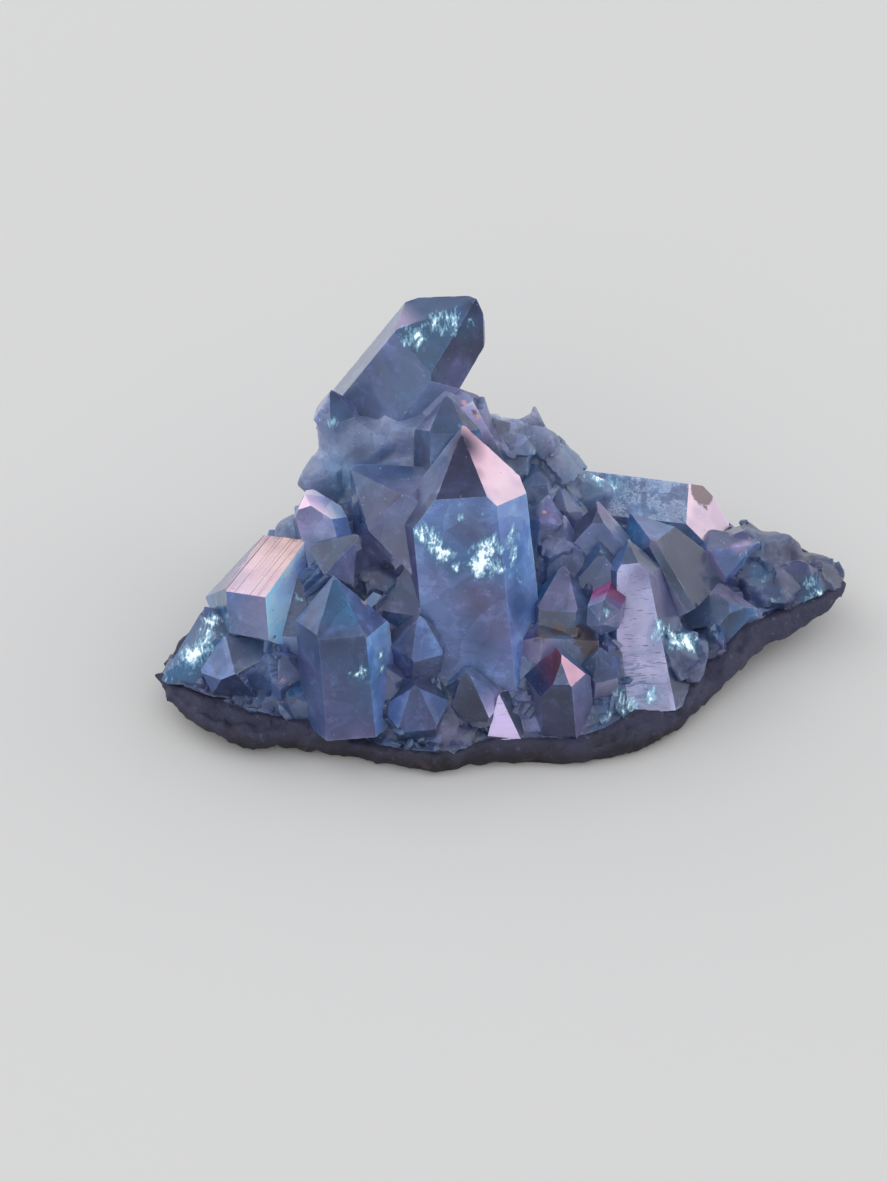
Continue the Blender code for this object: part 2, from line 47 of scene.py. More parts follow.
class Wire:
    # a socket that can be added, multiplied and so on; node() makes every other node
    def __init__(self, tree, socket=None):
        self.tree = tree
        self.socket = socket

    def node(self, kind, settings=None, sockets=None, output=0):
        made = self.tree.nodes.new(kind)
        for name, value in (settings or {}).items():
            if name == "stops":
                setStops(made.color_ramp, value)
            else:
                setattr(made, name, value)
        for name, value in (sockets or {}).items():
            if isinstance(value, Wire):
                self.tree.links.new(value.socket, made.inputs[name])
            else:
                made.inputs[name].default_value = value
        return Wire(self.tree, made.outputs[output]) if made.outputs else None

    def also(self, output):
        # another output of the same node
        return Wire(self.tree, self.socket.node.outputs[output])

    def maths(self, operation, first, second=0.0):
        return self.node("ShaderNodeMath", {"operation": operation}, {0: first, 1: second})

    def __add__(self, other):
        return self.maths("ADD", self, other)

    def __radd__(self, other):
        return self.maths("ADD", other, self)

    def __sub__(self, other):
        return self.maths("SUBTRACT", self, other)

    def __rsub__(self, other):
        return self.maths("SUBTRACT", other, self)

    def __mul__(self, other):
        return self.maths("MULTIPLY", self, other)

    def __rmul__(self, other):
        return self.maths("MULTIPLY", other, self)


def added(name, data):
    made = bpy.data.objects.new(name, data)
    scene.collection.objects.link(made)
    return made


def meshOf(shape, name):
    mesh = bpy.data.meshes.new(name)
    shape.to_mesh(mesh)
    shape.free()
    return mesh


def moveOut(shape, pushes):
    # moves every point along its normal by so many millimetres
    moves = [vert.normal * push * mm for vert, push in zip(shape.verts, pushes)]
    for vert, move in zip(shape.verts, moves):
        vert.co += move


def setStops(ramp, stops):
    while len(ramp.elements) < len(stops):
        ramp.elements.new(1.0)
    for element, (place, colour) in zip(ramp.elements, stops):
        element.position = place
        element.color = colour


def paint(red, green, blue):
    # a paint-box colour, 0 to 255, as the shader's linear light
    def line(value):
        value /= 255
        return value / 12.92 if value < 0.04045 else ((value + 0.055) / 1.055) ** 2.4
    return (line(red), line(green), line(blue), 1.0)


def mixColour(wire, factor, first, second, how="MIX"):
    return wire.node("ShaderNodeMix", {"data_type": "RGBA", "blend_type": how},
                     {0: factor, 6: first, 7: second}, output=2)


def between(value, low, high):
    # 0 at low, 1 at high, with soft ends; low may be above high
    return value.node("ShaderNodeMapRange", {"interpolation_type": "SMOOTHSTEP"},
                      {"Value": value, "From Min": low, "From Max": high})


def attribute(wire, name, output="Fac"):
    return wire.node("ShaderNodeAttribute", {"attribute_name": name}, output=output)


def grain(place, size, detail, roughness, distortion=0.0):
    # clouds whose features are about size millimetres across
    return place.node("ShaderNodeTexNoise", {},
                      {"Vector": place, "Scale": 1 / size, "Detail": detail, "Roughness": roughness,
                       "Distortion": distortion})


def stretched(place, *scale):
    return place.node("ShaderNodeMapping", {}, {"Vector": place, "Scale": scale})


def startMaterial(name):
    made = bpy.data.materials.new(name)
    made.use_nodes = True
    made.node_tree.nodes.clear()
    wire = Wire(made.node_tree)
    place = wire.node("ShaderNodeVectorMath", {"operation": "SCALE"},
                      {0: wire.node("ShaderNodeTexCoord", output="Object"), "Scale": 1000.0})
    return made, wire, place


scatterLimits = {"mostPerArea": 6e6, "turn": 3.1}


def scatterTree(stops):
    # spreads copies of one small piece over a surface, each with its own size, lean and tone
    tree = bpy.data.node_groups.new("scatter", "GeometryNodeTree")
    asked = {"Surface": "Geometry", "Piece": "Object", "Spacing": "Float", "Smallest": "Float",
             "Largest": "Float", "Lean": "Float", "Sheen": "Float", "Clear": "Float", "Seed": "Int",
             "Material": "Material"}
    for name, kind in asked.items():
        tree.interface.new_socket(name, in_out="INPUT", socket_type="NodeSocket" + kind)
    tree.interface.new_socket("Scattered", in_out="OUTPUT", socket_type="NodeSocketGeometry")
    wire = Wire(tree)
    given = wire.node("NodeGroupInput").also

    def chance(step):
        return wire.node("FunctionNodeRandomValue", {"data_type": "FLOAT"},
                         {2: 0.0, 3: 1.0, "Seed": given("Seed") + step}, output=1)

    spread = wire.node("GeometryNodeDistributePointsOnFaces", {"distribute_method": "POISSON"}, {
        "Mesh": given("Surface"), "Distance Min": given("Spacing"), "Seed": given("Seed"),
        "Density Max": scatterLimits["mostPerArea"]})
    lean, around = given("Lean"), scatterLimits["turn"]
    least = wire.node("ShaderNodeCombineXYZ", {}, {0: lean * -1.0, 1: lean * -1.0, 2: -around})
    most = wire.node("ShaderNodeCombineXYZ", {}, {0: lean, 1: lean, 2: around})
    turn = wire.node("FunctionNodeRandomValue", {"data_type": "FLOAT_VECTOR"},
                     {0: least, 1: most, "Seed": given("Seed")})
    turned = wire.node("FunctionNodeRotateRotation", {}, {
        "Rotation": spread.also("Rotation"),
        "Rotate By": wire.node("FunctionNodeEulerToRotation", {}, {"Euler": turn})})
    large = chance(7)
    large = large * large
    size = given("Smallest") + (given("Largest") - given("Smallest")) * large
    piece = wire.node("GeometryNodeObjectInfo", {}, {"Object": given("Piece")}, output="Geometry")
    copies = wire.node("GeometryNodeInstanceOnPoints", {}, {
        "Points": spread.also("Points"), "Instance": piece, "Rotation": turned, "Scale": size})
    pick = chance(3)
    tone = wire.node("ShaderNodeValToRGB", {"stops": stops}, {0: pick})
    for name, kind, value in (("tone", "FLOAT_COLOR", tone), ("sheen", "FLOAT", given("Sheen") * pick),
                              ("clear", "FLOAT", given("Clear"))):
        copies = wire.node("GeometryNodeStoreNamedAttribute", {"data_type": kind, "domain": "INSTANCE"},
                           {"Geometry": copies, "Name": name, "Value": value})
    loose = wire.node("GeometryNodeRealizeInstances", {}, {"Geometry": copies})
    done = wire.node("GeometryNodeSetMaterial", {}, {"Geometry": loose, "Material": given("Material")})
    wire.node("NodeGroupOutput", {}, {"Scattered": done})
    return tree


def scatter(name, surface, piece, finish, sizes, stops):
    # surface and piece are helpers, removed once the scattered mesh is made
    host = added(name + "_surface", surface)
    template = bpy.data.objects.new(name + "_piece", piece)
    modifier = host.modifiers.new("scatter", "NODES")
    modifier.node_group = scatterTree(stops)
    asked = {"Piece": template, "Material": finish, **sizes}
    for socket in modifier.node_group.interface.items_tree:
        if socket.in_out == "INPUT" and socket.name in asked:
            modifier[socket.identifier] = asked[socket.name]
    whole = host.evaluated_get(bpy.context.evaluated_depsgraph_get())
    mesh = bpy.data.meshes.new_from_object(whole)
    mesh.name = name
    bpy.data.objects.remove(host)
    bpy.data.objects.remove(template)
    print(f"{name}: {len(mesh.polygons)} faces")
    return added(name, mesh)


shot = {"aim": (-5.24, 0.0, 6.2), "distance": 255.0, "elevation": 40.0, "heightSeen": 102.3,
        "nearest": 0.01}
studio = {
    "floorSize": 3.0, "floorBelow": 0.00002, "floorColour": (0.70, 0.70, 0.70, 1.0),
    "floorRoughness": 0.9, "floorSpecular": 0.1,
    "skyColour": (0.985, 0.99, 1.0, 1.0), "skyStrength": 0.72,
    "lamps": {
        "backLeft": dict(at=(-480, 260, 360), size=640, watts=1.15),
        "right": dict(at=(560, 190, 290), size=680, watts=1.25),
        "front": dict(at=(-150, -480, 330), size=420, watts=0.40),
    },
}


def aimCamera():
    up = math.radians(shot["elevation"])
    back = Vector((0, -math.cos(up), math.sin(up)))
    data = bpy.data.cameras.new("camera")
    data.lens = data.sensor_width * shot["distance"] / shot["heightSeen"]
    camera = added("camera", data)
    camera.location = (Vector(shot["aim"]) + back * shot["distance"]) * mm
    camera.rotation_euler = (math.radians(90 - shot["elevation"]), 0, 0)
    data.clip_start = shot["nearest"]
    scene.camera = camera


def lightStudio():
    half = studio["floorSize"] / 2
    mesh = bpy.data.meshes.new("floor")
    mesh.from_pydata([(-half, -half, 0), (half, -half, 0), (half, half, 0), (-half, half, 0)], [],
                     [(0, 1, 2, 3)])
    floor = added("floor", mesh)
    floor.location.z = -studio["floorBelow"]
    made, wire, _ = startMaterial("studio_floor")
    shader = wire.node("ShaderNodeBsdfPrincipled", {}, {
        "Base Color": studio["floorColour"], "Roughness": studio["floorRoughness"],
        "Specular IOR Level": studio["floorSpecular"]})
    wire.node("ShaderNodeOutputMaterial", {}, {"Surface": shader})
    mesh.materials.append(made)
    for name, lamp in studio["lamps"].items():
        light = bpy.data.lights.new(name, "AREA")
        light.energy = lamp["watts"]
        light.size = lamp["size"] * mm
        holder = added(name, light)
        holder.location = Vector(lamp["at"]) * mm
        holder.rotation_euler = (-holder.location).to_track_quat("-Z", "Y").to_euler()
    world = bpy.data.worlds.new("studio")
    world.use_nodes = True
    world.node_tree.nodes.clear()
    wire = Wire(world.node_tree)
    sky = wire.node("ShaderNodeBackground", {},
                    {"Color": studio["skyColour"], "Strength": studio["skyStrength"]})
    wire.node("ShaderNodeOutputWorld", {}, {"Surface": sky})
    scene.world = world
    scene.view_settings.view_transform = "Standard"


# colours of the coating and of its marks
tones = {
    "slate": (84, 102, 142), "steel": (98, 124, 168), "ink": (44, 58, 98), "indigo": (38, 36, 74),
    "teal": (58, 108, 148), "deepTeal": (32, 78, 128), "mauve": (130, 128, 162),
    "orchid": (176, 162, 202), "rose": (208, 162, 184), "blush": (214, 188, 204),
    "lilac": (164, 162, 194), "violet": (98, 102, 148), "smoke": (116, 128, 156), "moss": (114, 124, 150),
    "milk": (132, 145, 174), "pearl": (190, 196, 212), "peach": (226, 184, 170), "ash": (86, 97, 124),
    "wine": (108, 50, 70), "berry": (140, 56, 102), "rosy": (122, 108, 142), "night": (8, 8, 58),
    # depth: the deep blue on top of the tall crystal's cap, partly its own colour, partly painted shade on a
    # face that the lamps light brightly
    "dusk": (60, 70, 100), "depth": (46, 88, 142), "hollow": (70, 80, 106), "dash": (84, 84, 116),
    # spark, the last one here, is the white of the painted highlights in the glints
    "line": (206, 214, 230), "fleck": (226, 230, 242), "spark": (242, 252, 255),
}
tones = {name: paint(*colour) for name, colour in tones.items()}


def facet(at, tone, fade=None, to=None, sheen=0.1, clear=0.1, lift=1.0, **patterns):
    # a face with a tone of its own: a point on it in millimetres, its tone, the tone it fades to and
    # where that one is reached, how metallic the coating looks there, how clear the quartz is under it
    # and how much lighter than its tone it is painted: painted light and shade, lighter on a face that
    # the lamps leave in shade and darker on one that catches their light
    fading = dict(fade=fade, to=to) if fade else {}
    return dict(at=at, tone=tone, sheen=sheen, clear=clear, lift=lift, **fading, **patterns)


facets = {
    "tallStrip": facet((-11.8, 12.0, 22.3), "milk", lift=0.85),
    # the cap's top fades to a deep blue that is partly its own colour, partly painted shade
    "tallCapLeft": facet((-8.6, 11.9, 26.6), "orchid", "depth", (-7.4, 12.5, 26.9), sheen=0.5,
        fadeSheen=0.95),
    "tallCapFront": facet((-6.8, 9.6, 26.4), "teal", sheen=0.3, clear=0.3, lift=0.85),
    "tallCapRight": facet((-2.9, 11.2, 27.6), "indigo", "slate", (-4.3, 8.4, 24.4), sheen=0.15, clear=0.3,
        lift=0.55),
    "tallFront": facet((-8.6, 9.0, 24.4), "steel", "slate", (-10.7, 7.1, 18.3), sheen=0.05, clear=0.4),
    "tallUnder": facet((-6.0, 7.1, 21.6), "milk", sheen=0.05, clear=0.05, lift=0.9),
    "sideTip": facet((-15.6, 8.2, 20.4), "lilac", sheen=0.45),
    "sideFront": facet((-14.1, 7.5, 21.2), "ink", "teal", (-14.5, 6.0, 20.1), clear=0.25, sheen=0.03),
    "behindFront": facet((-5.1, 2.7, 21.0), "deepTeal", "steel", (-4.9, 1.9, 19.4), clear=0.3),
    "behindTop": facet((-3.6, 3.6, 21.4), "steel", clear=0.2, lift=0.5),
    "strip": facet((-2.6, 5.9, 20.2), "lilac", "ash", (-1.3, 4.9, 18.3), lift=1.3),
    "ridgeBlock": facet((0.0, 6.6, 18.7), "moss", clear=0.5),
    "ridgeKnob": facet((2.5, 8.8, 19.1), "lilac", "moss", (2.6, 7.4, 18.6), sheen=0.2, clear=0.5),
    "centreCapLeft": facet((-6.8, -1.6, 19.1), "smoke", "ash", (-7.6, -2.6, 17.4), sheen=0.2, lift=0.95),
    "centreCapFront": facet((-3.8, -1.9, 21.8), "night", "ink", (-3.6, -4.2, 20.4)),
    "centreCapRight": facet((-1.0, -2.2, 20.6), "blush", "rose", (-2.8, -1.6, 22.0), sheen=0.6, clear=0.0,
        lift=0.95),
    "centreFront": facet((-3.9, -6.0, 17.6), "steel", "slate", (-2.2, -10.0, 9.3), clear=0.3, lift=1.6),
    "leftCapTop": facet((-8.9, 0.8, 18.3), "slate", "smoke", (-7.6, -0.4, 18.4), sheen=0.15, speckle=1.0,
        clear=0.15),
    "leftCapFront": facet((-11.0, -1.9, 17.7), "slate", "ash", (-9.6, -3.0, 17.6), clear=0.35, speckle=0.5),
    "leftCapSide": facet((-13.0, 0.5, 16.9), "slate", clear=0.5),
    "leftSide": facet((-10.5, -3.6, 16.9), "slate", "smoke", (-9.0, -5.0, 14.8), clear=0.35, speckle=0.5),
    "violetTop": facet((-16.6, -0.5, 16.4), "blush", "smoke", (-15.2, 0.4, 15.9), sheen=0.2, fadeSheen=0.05,
        clear=0.0, lift=2.0),
    "violetTopLeft": facet((-17.1, -0.5, 16.2), "blush", sheen=0.3, clear=0.0, lift=1.5),
    "violetRight": facet((-14.1, -2.4, 15.3), "slate", lift=1.8),
    "violetFront": facet((-16.0, -2.3, 15.3), "mauve", "smoke", (-15.6, -3.5, 14.2), clear=0.15, lift=1.35),
    "striped": facet((-21.0, -5.3, 12.6), "blush", "peach", (-17.2, -3.2, 13.9), sheen=0.5, clear=0.0,
        stripes=1.0, along=(0.54, 0.81, 0.23), lift=0.9),
    "kite": facet((-21.4, -8.3, 10.6), "mauve", "steel", (-22.6, -7.2, 11.0), sheen=0.15, clear=0.2,
        lift=1.05),
    "kiteLeft": facet((-23.7, -6.1, 9.0), "teal", clear=0.3, lift=1.2),
    "leftEndShelf": facet((-24.6, -6.0, 7.5), "slate", "teal", (-25.6, -5.4, 7.2), sheen=0.0, clear=0.15,
        lift=0.55),
    "stripedEnd": facet((-17.3, -4.7, 11.9), "smoke", "steel", (-18.9, -7.9, 10.8), clear=0.15, lift=4.2),
    "milkyBack": facet((-11.0, -7.2, 11.3), "smoke", sheen=0.05, lift=4.4),
    "greyLeftLow": facet((-18.1, -9.0, 8.4), "smoke", clear=0.15, lift=2.1),
    "leftEndTop": facet((-27.6, -6.8, 5.4), "deepTeal", sheen=0.0, clear=0.15, lift=0.9),
    "leftEnd": facet((-26.7, -9.0, 3.9), "teal", "slate", (-26.0, -9.6, 2.6), sheen=0.15, clear=0.25),
    "leftEndInner": facet((-24.5, -8.5, 6.8), "steel", clear=0.2, lift=1.35),
    "roundTop": facet((-22.3, -9.6, 7.8), "ash", clear=0.2),
    "roundFront": facet((-22.3, -11.6, 5.7), "dusk", clear=0.3),
    "frontLeftCap": facet((-13.3, -11.4, 13.7), "teal", "slate", (-13.4, -12.6, 12.8), clear=0.25,
        lift=0.9),
    "frontLeftFront": facet((-13.7, -13.8, 10.4), "slate", "violet", (-14.4, -15.2, 5.4), clear=0.4,
        lift=0.9),
    "frontLeftRight": facet((-10.5, -11.9, 10.0), "steel", "slate", (-10.9, -14.0, 6.8), clear=0.25,
        lift=2.3),
    "lowFront": facet((-7.6, -14.4, 6.5), "slate", "violet", (-7.6, -15.0, 4.4), clear=0.35),
    "lowFrontLeft": facet((-9.3, -13.8, 5.9), "slate", clear=0.2, lift=1.6),
    "lowFrontRight": facet((-5.5, -13.4, 5.6), "slate", clear=0.2, lift=1.6),
    "lowCap": facet((-3.0, -13.0, 6.3), "ash", "dusk", (-2.4, -13.4, 5.0), clear=0.3, lift=0.75),
    "blueMiddle": facet((-7.6, -10.9, 10.0), "steel", clear=0.3, lift=1.6),
    "greyMiddle": facet((-8.0, -7.6, 11.6), "ash", "slate", (-7.2, -8.4, 11.2), clear=0.2, lift=1.15),
    "violetLow": facet((-0.1, -13.4, 4.5), "orchid", sheen=0.4, clear=0.05, bricks=0.4, lift=1.5),
    "violetLowLeft": facet((-1.4, -13.5, 4.6), "orchid", "slate", (-1.7, -13.0, 6.0), sheen=0.3, clear=0.05,
        lift=1.5),
    "ledgeFront": facet((3.6, -9.9, 9.2), "lilac", "ash", (6.6, -10.0, 8.4), clear=0.15, lift=0.8),
    "ledgeTop": facet((4.6, -8.8, 9.1), "ash", sheen=0.05),
    "darkCapRight": facet((5.4, -13.0, 8.6), "rose", sheen=0.6, clear=0.0, lift=0.9),
    "darkCapLeft": facet((4.0, -13.6, 8.5), "wine", "ink", (3.2, -13.9, 7.4), sheen=0.2, lift=0.9),
    "darkFront": facet((4.4, -14.3, 6.4), "dusk", "ink", (4.5, -14.5, 3.0), clear=0.3, lift=0.8),
    "darkLeft": facet((2.0, -12.2, 5.7), "ash", clear=0.2, lift=0.7),
    "clearCap": facet((7.7, -8.5, 12.4), "smoke", "berry", (8.3, -6.6, 11.8), sheen=0.15, clear=0.15,
        lift=2.8),
    "clearRight": facet((9.0, -8.9, 12.2), "violet", "berry", (8.8, -7.6, 12.4), clear=0.3),
    "longFace": facet((10.8, -7.1, 10.1), "lilac", sheen=0.3, clear=0.0, bricks=1.0,
        along=(-0.07, 0.58, 0.81)),
    "longRight": facet((12.5, -6.6, 10.8), "rosy", "ash", (13.6, -8.9, 7.2), clear=0.25, speckle=0.4),
    "slopeTopRight": facet((9.8, 0.2, 12.8), "smoke", "rosy", (8.8, 1.4, 12.4), sheen=0.15, clear=0.2,
        lift=1.2),
    "slopeFront": facet((9.7, -2.0, 12.4), "slate", clear=0.25, speckle=0.6, lift=1.35),
    "slopeLow": facet((6.7, -4.7, 11.4), "slate", "ink", (5.0, -4.6, 12.4), clear=0.25, speckle=0.5),
    "centreRight": facet((2.0, -6.8, 11.0), "steel", clear=0.2, lift=1.9),
    "slateFace": facet((15.0, -0.1, 11.4), "dusk", sheen=0.6, clear=0.0),
    "slateEdge": facet((12.2, -2.7, 13.5), "smoke", "ash", (12.4, -4.0, 12.0), speckle=0.6, lift=0.6),
    "slabEdge": facet((12.1, -3.8, 12.8), "ash", sheen=0.15, lift=0.7),
    "blockFront": facet((18.6, -3.3, 8.0), "ash", clear=0.25, lift=1.05),
    "blockRight": facet((20.5, -3.2, 7.3), "rosy", clear=0.25, lift=0.75),
    "blockLow": facet((19.2, -4.4, 6.1), "dusk", "teal", (20.4, -3.6, 5.4), clear=0.3, lift=0.9),
    "fracturedFront": facet((12.0, 8.2, 10.9), "smoke", "moss", (15.4, 6.6, 10.0), sheen=0.0, clear=0.0,
        broken=1.0, lift=1.25),
    "fracturedEnd": facet((17.2, 5.7, 8.4), "blush", sheen=0.55, clear=0.0, speckle=0.3, lift=0.95),
    "rightSmallTop": facet((20.7, 4.2, 8.4), "ash", "smoke", (21.4, 3.6, 8.4), speckle=0.6),
    "rightSmallFront": facet((20.5, 3.4, 8.3), "steel", clear=0.3),
    "rightMiddle": facet((24.9, 2.3, 6.7), "slate", "dusk", (25.7, 0.2, 5.0), clear=0.3),
    "rightEnd": facet((28.5, 3.1, 6.0), "ash", sheen=0.4, clear=0.2, lift=0.6),
}

# areas of another tone inside the faces: a place and a radius in millimetres, and how strong it is
shades = {
    # the deep blue on top of the tall crystal's cap: partly its own colour, partly painted shade
    "depth": ((-4.8, 12.6, 27.6, 3.0, 1.0), (-6.6, 13.4, 27.0, 1.4, 0.8)),
    "deepTeal": ((-6.2, 10.2, 26.6, 1.2, 0.4), (1.1, -8.0, 11.4, 2.0, 0.7), (15.6, -9.0, 6.2, 0.9, 0.5)),
    "steel": ((-4.2, -6.6, 16.0, 2.6, 0.5),),
    "slate": (
        (-9.4, 8.4, 22.6, 1.8, 0.35), (-8.6, 6.6, 17.6, 2.0, 0.7), (-16.2, -11.2, 12.5, 1.4, 0.6),
        (4.1, -5.0, 11.6, 1.3, 0.5), (-2.2, -5.0, 20.4, 1.0, 0.4),
    ),
    "milk": (
        (-15.4, 6.1, 19.0, 1.6, 0.4), (-9.7, -8.1, 10.9, 1.2, 0.5), (14.6, -6.0, 7.8, 1.4, 0.7),
        (-6.9, 8.8, 24.4, 1.6, 0.3),
    ),
    "violet": ((-4.3, 8.1, 23.6, 1.6, 0.4), (-14.6, -15.3, 5.0, 2.2, 0.6), (-10.1, -3.1, 17.6, 1.4, 0.2)),
    "night": (
        (-3.6, -0.6, 22.6, 1.9, 1.0), (-3.8, -1.9, 21.8, 1.2, 0.7), (-2.8, 11.4, 28.1, 1.0, 0.6),
        (-2.6, -3.0, 21.4, 0.8, 0.5),
    ),
    "rosy": (
        (11.3, -5.3, 12.6, 1.0, 0.9), (-3.0, -6.1, 17.9, 1.7, 0.7), (-2.4, -8.5, 12.5, 2.6, 0.8),
        (-5.5, -7.5, 13.6, 1.6, 0.5), (-4.7, -14.9, 3.0, 1.5, 0.5), (12.3, -2.6, 13.4, 1.2, 0.5),
        (12.0, -5.2, 12.0, 1.0, 0.5), (-0.8, -9.4, 10.6, 1.8, 0.6),
    ),
    "ink": (
        (-12.4, 5.0, 17.4, 1.5, 0.8), (-10.7, 5.0, 17.5, 1.3, 0.5), (-2.2, -9.9, 9.4, 1.4, 0.45),
        (-14.2, -13.2, 12.2, 1.4, 0.4), (15.9, -6.2, 5.4, 1.4, 0.9), (5.6, -4.2, 12.4, 1.3, 0.6),
        (17.0, -4.6, 6.0, 1.2, 0.7), (23.4, 0.2, 5.2, 1.8, 0.9), (16.9, -8.2, 6.8, 1.3, 0.8),
        (-5.6, -1.2, 20.6, 1.0, 0.4),
    ),
    "teal": (
        (-13.3, -11.4, 13.8, 1.6, 0.5), (-16.0, -4.0, 10.8, 2.2, 0.5), (20.4, -3.8, 5.4, 1.2, 0.4),
        (26.6, 0.8, 5.2, 1.3, 0.7), (-24.6, -3.0, 7.6, 1.4, 0.7), (-11.6, -14.0, 8.4, 2.0, 0.4),
        (9.0, 7.4, 12.2, 1.5, 0.5), (22.0, 1.9, 6.9, 1.5, 0.4),
    ),
    "berry": ((8.3, -6.6, 12.0, 0.9, 0.9),),
    "orchid": (
        (-12.2, -15.0, 3.6, 1.2, 0.3), (3.9, -10.6, 8.8, 0.9, 0.6), (20.5, 3.4, 8.3, 0.7, 1.0),
        (21.1, 3.9, 8.4, 0.6, 0.9), (0.4, 8.4, 18.9, 0.7, 0.5), (2.4, 9.0, 19.3, 0.6, 0.7),
    ),
    "ash": (
        (-11.4, -4.2, 12.4, 1.6, 0.5), (4.5, -6.8, 10.9, 1.5, 0.4), (1.4, 4.4, 16.4, 1.6, 0.6),
        (6.4, 7.0, 14.6, 1.6, 0.5),
    ),
    "pearl": (
        (-0.4, 8.0, 19.2, 0.9, 0.9), (6.1, 7.1, 15.0, 1.2, 0.35), (8.4, 7.2, 12.8, 1.2, 0.3),
        (2.2, 8.6, 19.2, 0.6, 0.4),
    ),
    "smoke": ((-19.7, -11.3, 7.1, 1.3, 0.6), (4.6, -1.9, 13.4, 1.2, 0.5), (-17.2, -12.9, 5.2, 1.2, 0.3)),
    "dusk": (
        (26.0, 4.8, 6.9, 1.4, 0.8), (26.8, 4.0, 6.4, 1.2, 0.7), (16.8, -8.0, 7.0, 1.1, 0.9),
        (18.3, -6.6, 5.2, 1.3, 0.8), (-1.3, 4.9, 18.3, 1.0, 0.6),
    ),
}

# small marks that differ inside a face, in the same way
patches = {
    # glint: places of painted highlights, where cracks inside the quartz are painted as if they reflected
    # light
    "glint": (
        (-5.2, 10.5, 27.3, 1.6, 1.0), (-7.6, 9.5, 26.2, 1.5, 0.95), (-6.4, 9.9, 26.8, 1.2, 0.6),
        (-2.9, 10.7, 27.0, 0.8, 0.6), (-3.6, 9.9, 26.2, 0.8, 0.45), (-6.8, -5.8, 17.2, 1.2, 1.15),
        (-6.1, -6.1, 16.5, 1.2, 1.1), (-5.2, -6.6, 15.6, 1.2, 0.95), (-4.4, -7.1, 14.6, 0.9, 0.95),
        (-1.5, -6.8, 16.4, 1.5, 1.2), (-2.3, -7.2, 15.2, 1.5, 1.1), (-1.0, -7.3, 15.0, 1.2, 1.0),
        (0.5, -5.6, 16.8, 1.2, 0.95), (0.7, -6.2, 15.4, 1.4, 0.95), (0.9, -6.9, 13.8, 1.2, 0.65),
        (-4.2, -5.3, 18.9, 1.0, 0.55), (-2.4, -5.6, 18.9, 1.0, 0.5), (-8.2, 6.9, 20.4, 0.6, 0.75),
        (-3.6, 3.6, 21.4, 0.5, 0.9), (-8.6, 7.9, 22.0, 1.2, 0.4), (-25.4, -7.0, 7.0, 1.8, 1.05),
        (-26.6, -7.4, 6.0, 2.0, 1.0), (-27.8, -8.0, 4.8, 1.5, 0.65), (-25.0, -5.4, 7.4, 1.2, 0.8),
        (-11.9, -14.1, 9.2, 0.9, 1.15), (-10.2, -12.2, 9.4, 0.7, 1.05), (-10.1, -12.4, 8.2, 0.7, 0.95),
        (-12.8, -13.9, 9.0, 0.6, 0.8), (-11.4, -14.2, 7.4, 1.0, 0.5), (13.4, -7.8, 8.2, 1.4, 1.0),
        (14.3, -7.8, 7.2, 1.5, 1.05), (15.2, -7.6, 6.6, 1.5, 1.0), (12.9, -8.0, 9.1, 0.9, 0.8),
        (8.2, 7.6, 12.2, 1.8, 0.95), (9.6, 8.0, 11.6, 1.5, 0.8), (27.3, 0.9, 5.4, 1.0, 1.0),
        (26.9, 1.6, 5.8, 0.9, 0.95), (26.5, 0.4, 4.9, 0.9, 0.8), (8.0, -9.4, 11.8, 1.1, 0.8),
        (8.6, -10.2, 10.0, 1.3, 0.8), (12.1, -11.3, 4.2, 1.2, 0.85), (10.5, -12.0, 3.2, 1.4, 0.85),
        (9.4, -11.4, 4.4, 1.2, 0.8), (8.2, -12.8, 3.4, 1.3, 0.75), (-15.0, 6.0, 19.4, 1.3, 0.55),
        (22.2, 1.8, 6.8, 1.2, 0.7), (23.4, 0.0, 5.6, 1.0, 0.75), (-9.6, -6.6, 11.9, 0.9, 0.6),
        (-18.0, 0.6, 12.6, 1.3, 0.6), (-17.2, -6.4, 10.6, 0.6, 0.85), (-11.6, -13.9, 5.2, 1.0, 0.6),
        (-7.8, -10.0, 9.0, 0.9, 0.6), (20.6, 2.9, 7.6, 0.9, 0.6), (8.2, -3.0, 12.9, 0.7, 0.65),
        (2.6, 5.0, 17.0, 1.2, 0.6), (4.6, -11.2, 8.4, 0.8, 0.55), (18.0, -4.6, 5.8, 0.9, 0.7),
        (-23.4, -7.0, 8.6, 1.2, 0.5), (-21.6, -8.4, 8.8, 0.8, 0.4),
    ),
    "stain": (
        (6.4, -8.9, 8.9, 1.5, 1.1), (4.4, -8.6, 9.3, 1.2, 0.9), (2.8, -9.2, 9.3, 1.3, 0.7),
        (7.0, -9.8, 8.4, 1.2, 1.0), (17.5, 9.3, 9.9, 1.5, 1.6), (17.9, 8.2, 8.9, 0.35, 1.2),
        (13.6, 2.6, 12.4, 0.9, 0.9), (12.9, -0.8, 13.7, 0.7, 0.8), (-8.6, -5.0, 14.9, 0.6, 0.6),
        (3.6, -1.6, 13.4, 0.8, 0.5), (1.6, -12.4, 6.0, 1.1, 0.6), (18.6, 1.6, 7.6, 1.0, 0.5),
        (-2.6, 6.2, 20.7, 0.6, 0.7),
    ),
    "ember": (
        (-11.8, -9.9, 13.3, 0.5, 1.1), (-18.4, -11.9, 6.2, 1.2, 0.6), (3.9, 8.6, 17.0, 0.5, 1.2),
        (-3.5, 6.8, 21.4, 0.35, 1.1), (-2.3, 6.1, 20.5, 0.35, 1.0), (3.1, -2.6, 11.9, 0.45, 0.8),
        (3.3, -0.1, 15.0, 0.35, 0.9), (-17.6, -12.6, 5.4, 0.9, 0.5), (4.6, -1.8, 13.2, 0.7, 0.6),
    ),
    "wavy": ((11.2, -10.6, 5.2, 2.2, 1.0), (10.6, -10.0, 6.2, 1.4, 0.8)),
}


